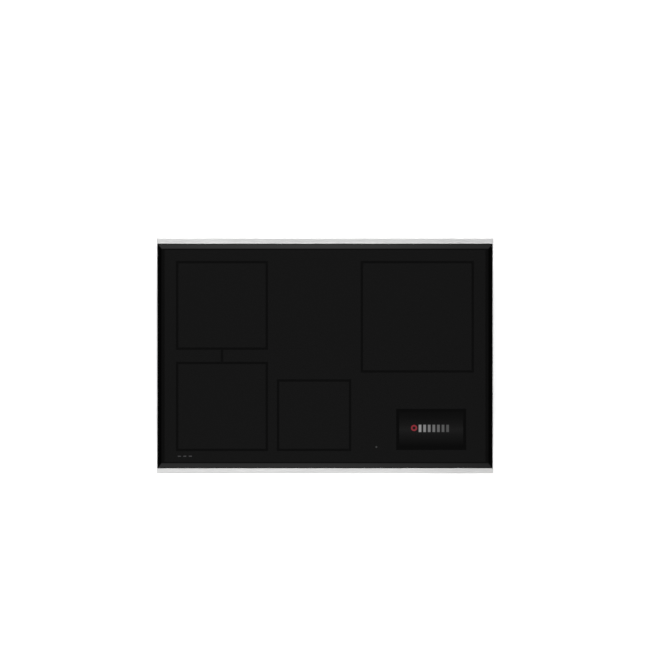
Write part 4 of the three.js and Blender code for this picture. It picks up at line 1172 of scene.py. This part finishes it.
def lit_marks(tree, place, window):
    """The window's lit marks: a red power ring, and level bars that fade towards the right."""
    (x, y, _), (half_x, half_y, _) = window
    left, middle_y = x - half_x * 0.56, y + half_y * 0.05
    lit = mix(tree, 0.0, (0, 0, 0), (0, 0, 0))
    for number in range(LEVEL_BARS):
        tone = 0.26 * 0.8**number
        at = (left + 0.019 + number * LIGHT_CELL, middle_y, 0)
        bar = use(tree, printed, Place=place, Middle=at, Half=(0.003, 0.0082, 0), Blur=0.0007)["Inside"]
        lit = mix(tree, bar, lit, (tone, tone, tone))
    at = (left + 0.0055, middle_y + 0.001, 0)
    ring = use(tree, ringed, Place=place, Middle=at, Radius=0.0052, Width=0.0022)
    return mix(tree, ring["Ring"], lit, (0.24, 0.02, 0.03))


def glass_finish():
    """Black glass-ceramic with its print, and a painted highlight across the control window."""
    made, tree, surface = new_finish("black_glass_ceramic", IOR=1.5, Emission_Strength=1.0)
    place = place_in(tree)
    spot = add(tree, "SeparateXYZ", {0: place}).outputs
    low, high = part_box("glass_panel")
    flat_x, flat_y = high.x - BEVEL_X, high.y - BEVEL_Y
    past_x = calc(tree, "ABSOLUTE", spot["X"])
    past_y = calc(tree, "ABSOLUTE", spot["Y"])
    dots = add(tree, "TexNoise", {"Vector": place, "Scale": 1400.0, "Detail": 1.0}).outputs["Fac"]
    field = ramp(tree, dots, [(0.3, FIELD * 0.8), (0.7, FIELD * 1.2)])
    border = calc(
        tree,
        "MAXIMUM",
        step(tree, past_x, flat_x - BORDER_X - 0.0005, flat_x - BORDER_X + 0.0005),
        step(tree, past_y, flat_y - BORDER_Y - 0.0005, flat_y - BORDER_Y + 0.0005),
    )
    dark = calc(tree, "MAXIMUM", zone_lines(tree, place), border)
    tone = mix(tree, dark, field, LINE)

    window = box_middle(*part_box("display_module"))
    frame_mask = use(tree, printed, Place=place, Middle=window[0], Half=window[1], Width=0.0066, Blur=0.001)
    rise = step(tree, spot["Y"], window[0][1] - window[1][1], window[0][1] + window[1][1], smooth=False)
    # The window's greys are its dark print with a painted highlight, brightest across the middle.
    glow = ramp(tree, rise, WINDOW_GREYS_WITH_PAINTED_HIGHLIGHT)
    tone = mix(tree, frame_mask["Inside"], tone, glow)
    tone = mix(tree, frame_mask["Line"], tone, 0.0008)

    key = box_middle(*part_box("power_key_pad"))[0]
    dot = use(tree, ringed, Place=place, Middle=key, Radius=0.0011, Width=0.0013)["Ring"]
    tone = mix(tree, dot, tone, (0.038, 0.038, 0.039))
    coil_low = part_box("coil_winding_left_front")[0]
    for number in range(DASHES):
        at = (coil_low.x - 0.0065 + number * DASH_PITCH, coil_low.y - 0.0226, 0)
        dash = use(tree, printed, Place=place, Middle=at, Half=(0.0034, 0.0012, 0))["Inside"]
        tone = mix(tree, dash, tone, (0.045, 0.045, 0.046))

    bevel_x = step(tree, past_x, flat_x, flat_x + 0.0003)
    bevel_y = step(tree, past_y, flat_y, flat_y + 0.0003)
    bevel = calc(tree, "MAXIMUM", bevel_x, bevel_y)
    tone = mix(tree, bevel, tone, 0.0003)
    marks = use(tree, handling, Place=place, Scale=5.0)
    rough = step(tree, marks["Smear"], 0.0, 1.0, 0.05, 0.075)
    feed(tree, surface, tone, rough)
    tree.links.new(lit_marks(tree, place, window), surface["Emission Color"])
    return made


dress(glass_finish(), 0.0004, "glass_panel", sharp=5)

# ---- Worktop clamps ----
# Four plated brackets screwed to the box's sides. A long screw climbs through each bracket's arm and presses
# its rubber foot up under the worktop.
THREAD = {"pitch": 0.001, "depth": 0.0005, "sides": 20}
BRACKET_SCREW = (0.0031, 0.0022)
BRACKET_SCREW_X = 0.0085  # each side of the rod
BRACKET_SCREW_Z = 0.0068  # over the bracket's foot
BRACKET_THICK = 0.0015
HEAD_SIZE = (0.006, 0.006)  # height and radius
HEAD_OVERLAP = 0.0005
ROD_RADIUS = 0.003
FOOT_HEIGHT = 0.003
ROD_INTO_FOOT = 0.0025
HEAD_LEVELS = [(0.0, 0.86), (0.1, 0.93), (0.2, 1.0), (0.72, 1.0), (0.78, 0.94), (0.8, 1.04), (1.0, 1.04)]
HEAD_SIDES = 36


def threaded_rod(shape, x, y, low, high, radius):
    """A metric thread: the surface follows a helix between its root and its crest."""
    sides, pitch = THREAD["sides"], THREAD["pitch"]
    levels = int((high - low) / pitch * 4)
    loops = [[Vector((x, y, low))]]
    for level in range(levels + 1):
        z = low + (high - low) * level / levels
        ends = min(level / 3, (levels - level) / 3, 1)
        loop = []
        for i in range(sides):
            turn = 2 * math.pi * i / sides
            wave = abs(((z / pitch - i / sides) % 1) * 2 - 1)
            reach = radius - THREAD["depth"] * (1 - wave * ends)
            loop.append(Vector((x + reach * math.cos(turn), y + reach * math.sin(turn), z)))
        loops.append(loop)
    loops.append([Vector((x, y, high))])
    skin(shape, loops)


def hex_head(shape, x, y, low, high, radius):
    """A hexagon head with chamfered corners and a pressed washer face."""
    thick = high - low
    loops = [[Vector((x, y, low))]]
    for level, limit in HEAD_LEVELS:
        loop = []
        for i in range(HEAD_SIDES):
            turn = 2 * math.pi * i / HEAD_SIDES
            flat = 0.866 / math.cos((turn + math.pi / 6) % (math.pi / 3) - math.pi / 6)
            reach = radius * (0.96 if limit > 1 else min(flat, limit))
            loop.append(Vector((x + reach * math.cos(turn), y + reach * math.sin(turn), low + thick * level)))
        loops.append(loop)
    loops.append([Vector((x, y, high))])
    skin(shape, loops)


for name in ("left_rear", "left_front", "right_rear", "right_front"):
    side = 1 if "right" in name else -1
    dress(plated, 0.0003, f"clamp_bracket_{name}")
    body = f"{name}_clamp_screw"
    node = f"clamp_screw_{name}"
    low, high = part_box(node)
    x, y = (low.x + high.x) / 2, (low.y + high.y) / 2
    shape = bmesh.new()
    hex_head(shape, x, y, low.z, low.z + HEAD_SIZE[0], HEAD_SIZE[1])
    rod_start = low.z + HEAD_SIZE[0] - HEAD_OVERLAP
    threaded_rod(shape, x, y, rod_start, high.z - ROD_INTO_FOOT, ROD_RADIUS)
    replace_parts(piece(f"clamp_thread_{name}", shape, "plated_steel", plated, body=body), node)
    radius = (high.x - low.x) / 2
    outline = [(0, 0), (0.0042, 0), (0.0046, 0.0006), (radius - 0.0006, 0.0008), (radius, 0.0014)]
    outline += [(radius, 0.0024), (radius - 0.0005, FOOT_HEIGHT), (radius - 0.0018, FOOT_HEIGHT)]
    outline += [(radius - 0.0022, 0.0026), (0, 0.0026)]
    shape = bmesh.new()
    turned(shape, outline, Matrix.Translation((x, y, high.z - FOOT_HEIGHT)), 32)
    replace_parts(piece(f"clamp_foot_{name}", shape, "silicone", silicone, body=body), node)
    bracket_low, bracket_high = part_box(f"clamp_bracket_{name}")
    face = bracket_high.x - BRACKET_THICK if side == -1 else bracket_low.x + BRACKET_THICK
    shape = bmesh.new()
    for across in (-BRACKET_SCREW_X, BRACKET_SCREW_X):
        place = facing((face, y + across, bracket_low.z + BRACKET_SCREW_Z), (side, 0, 0))
        pan_head(shape, place, *BRACKET_SCREW)
    piece(f"bracket_screws_{name}", shape, "plated_steel", plated)
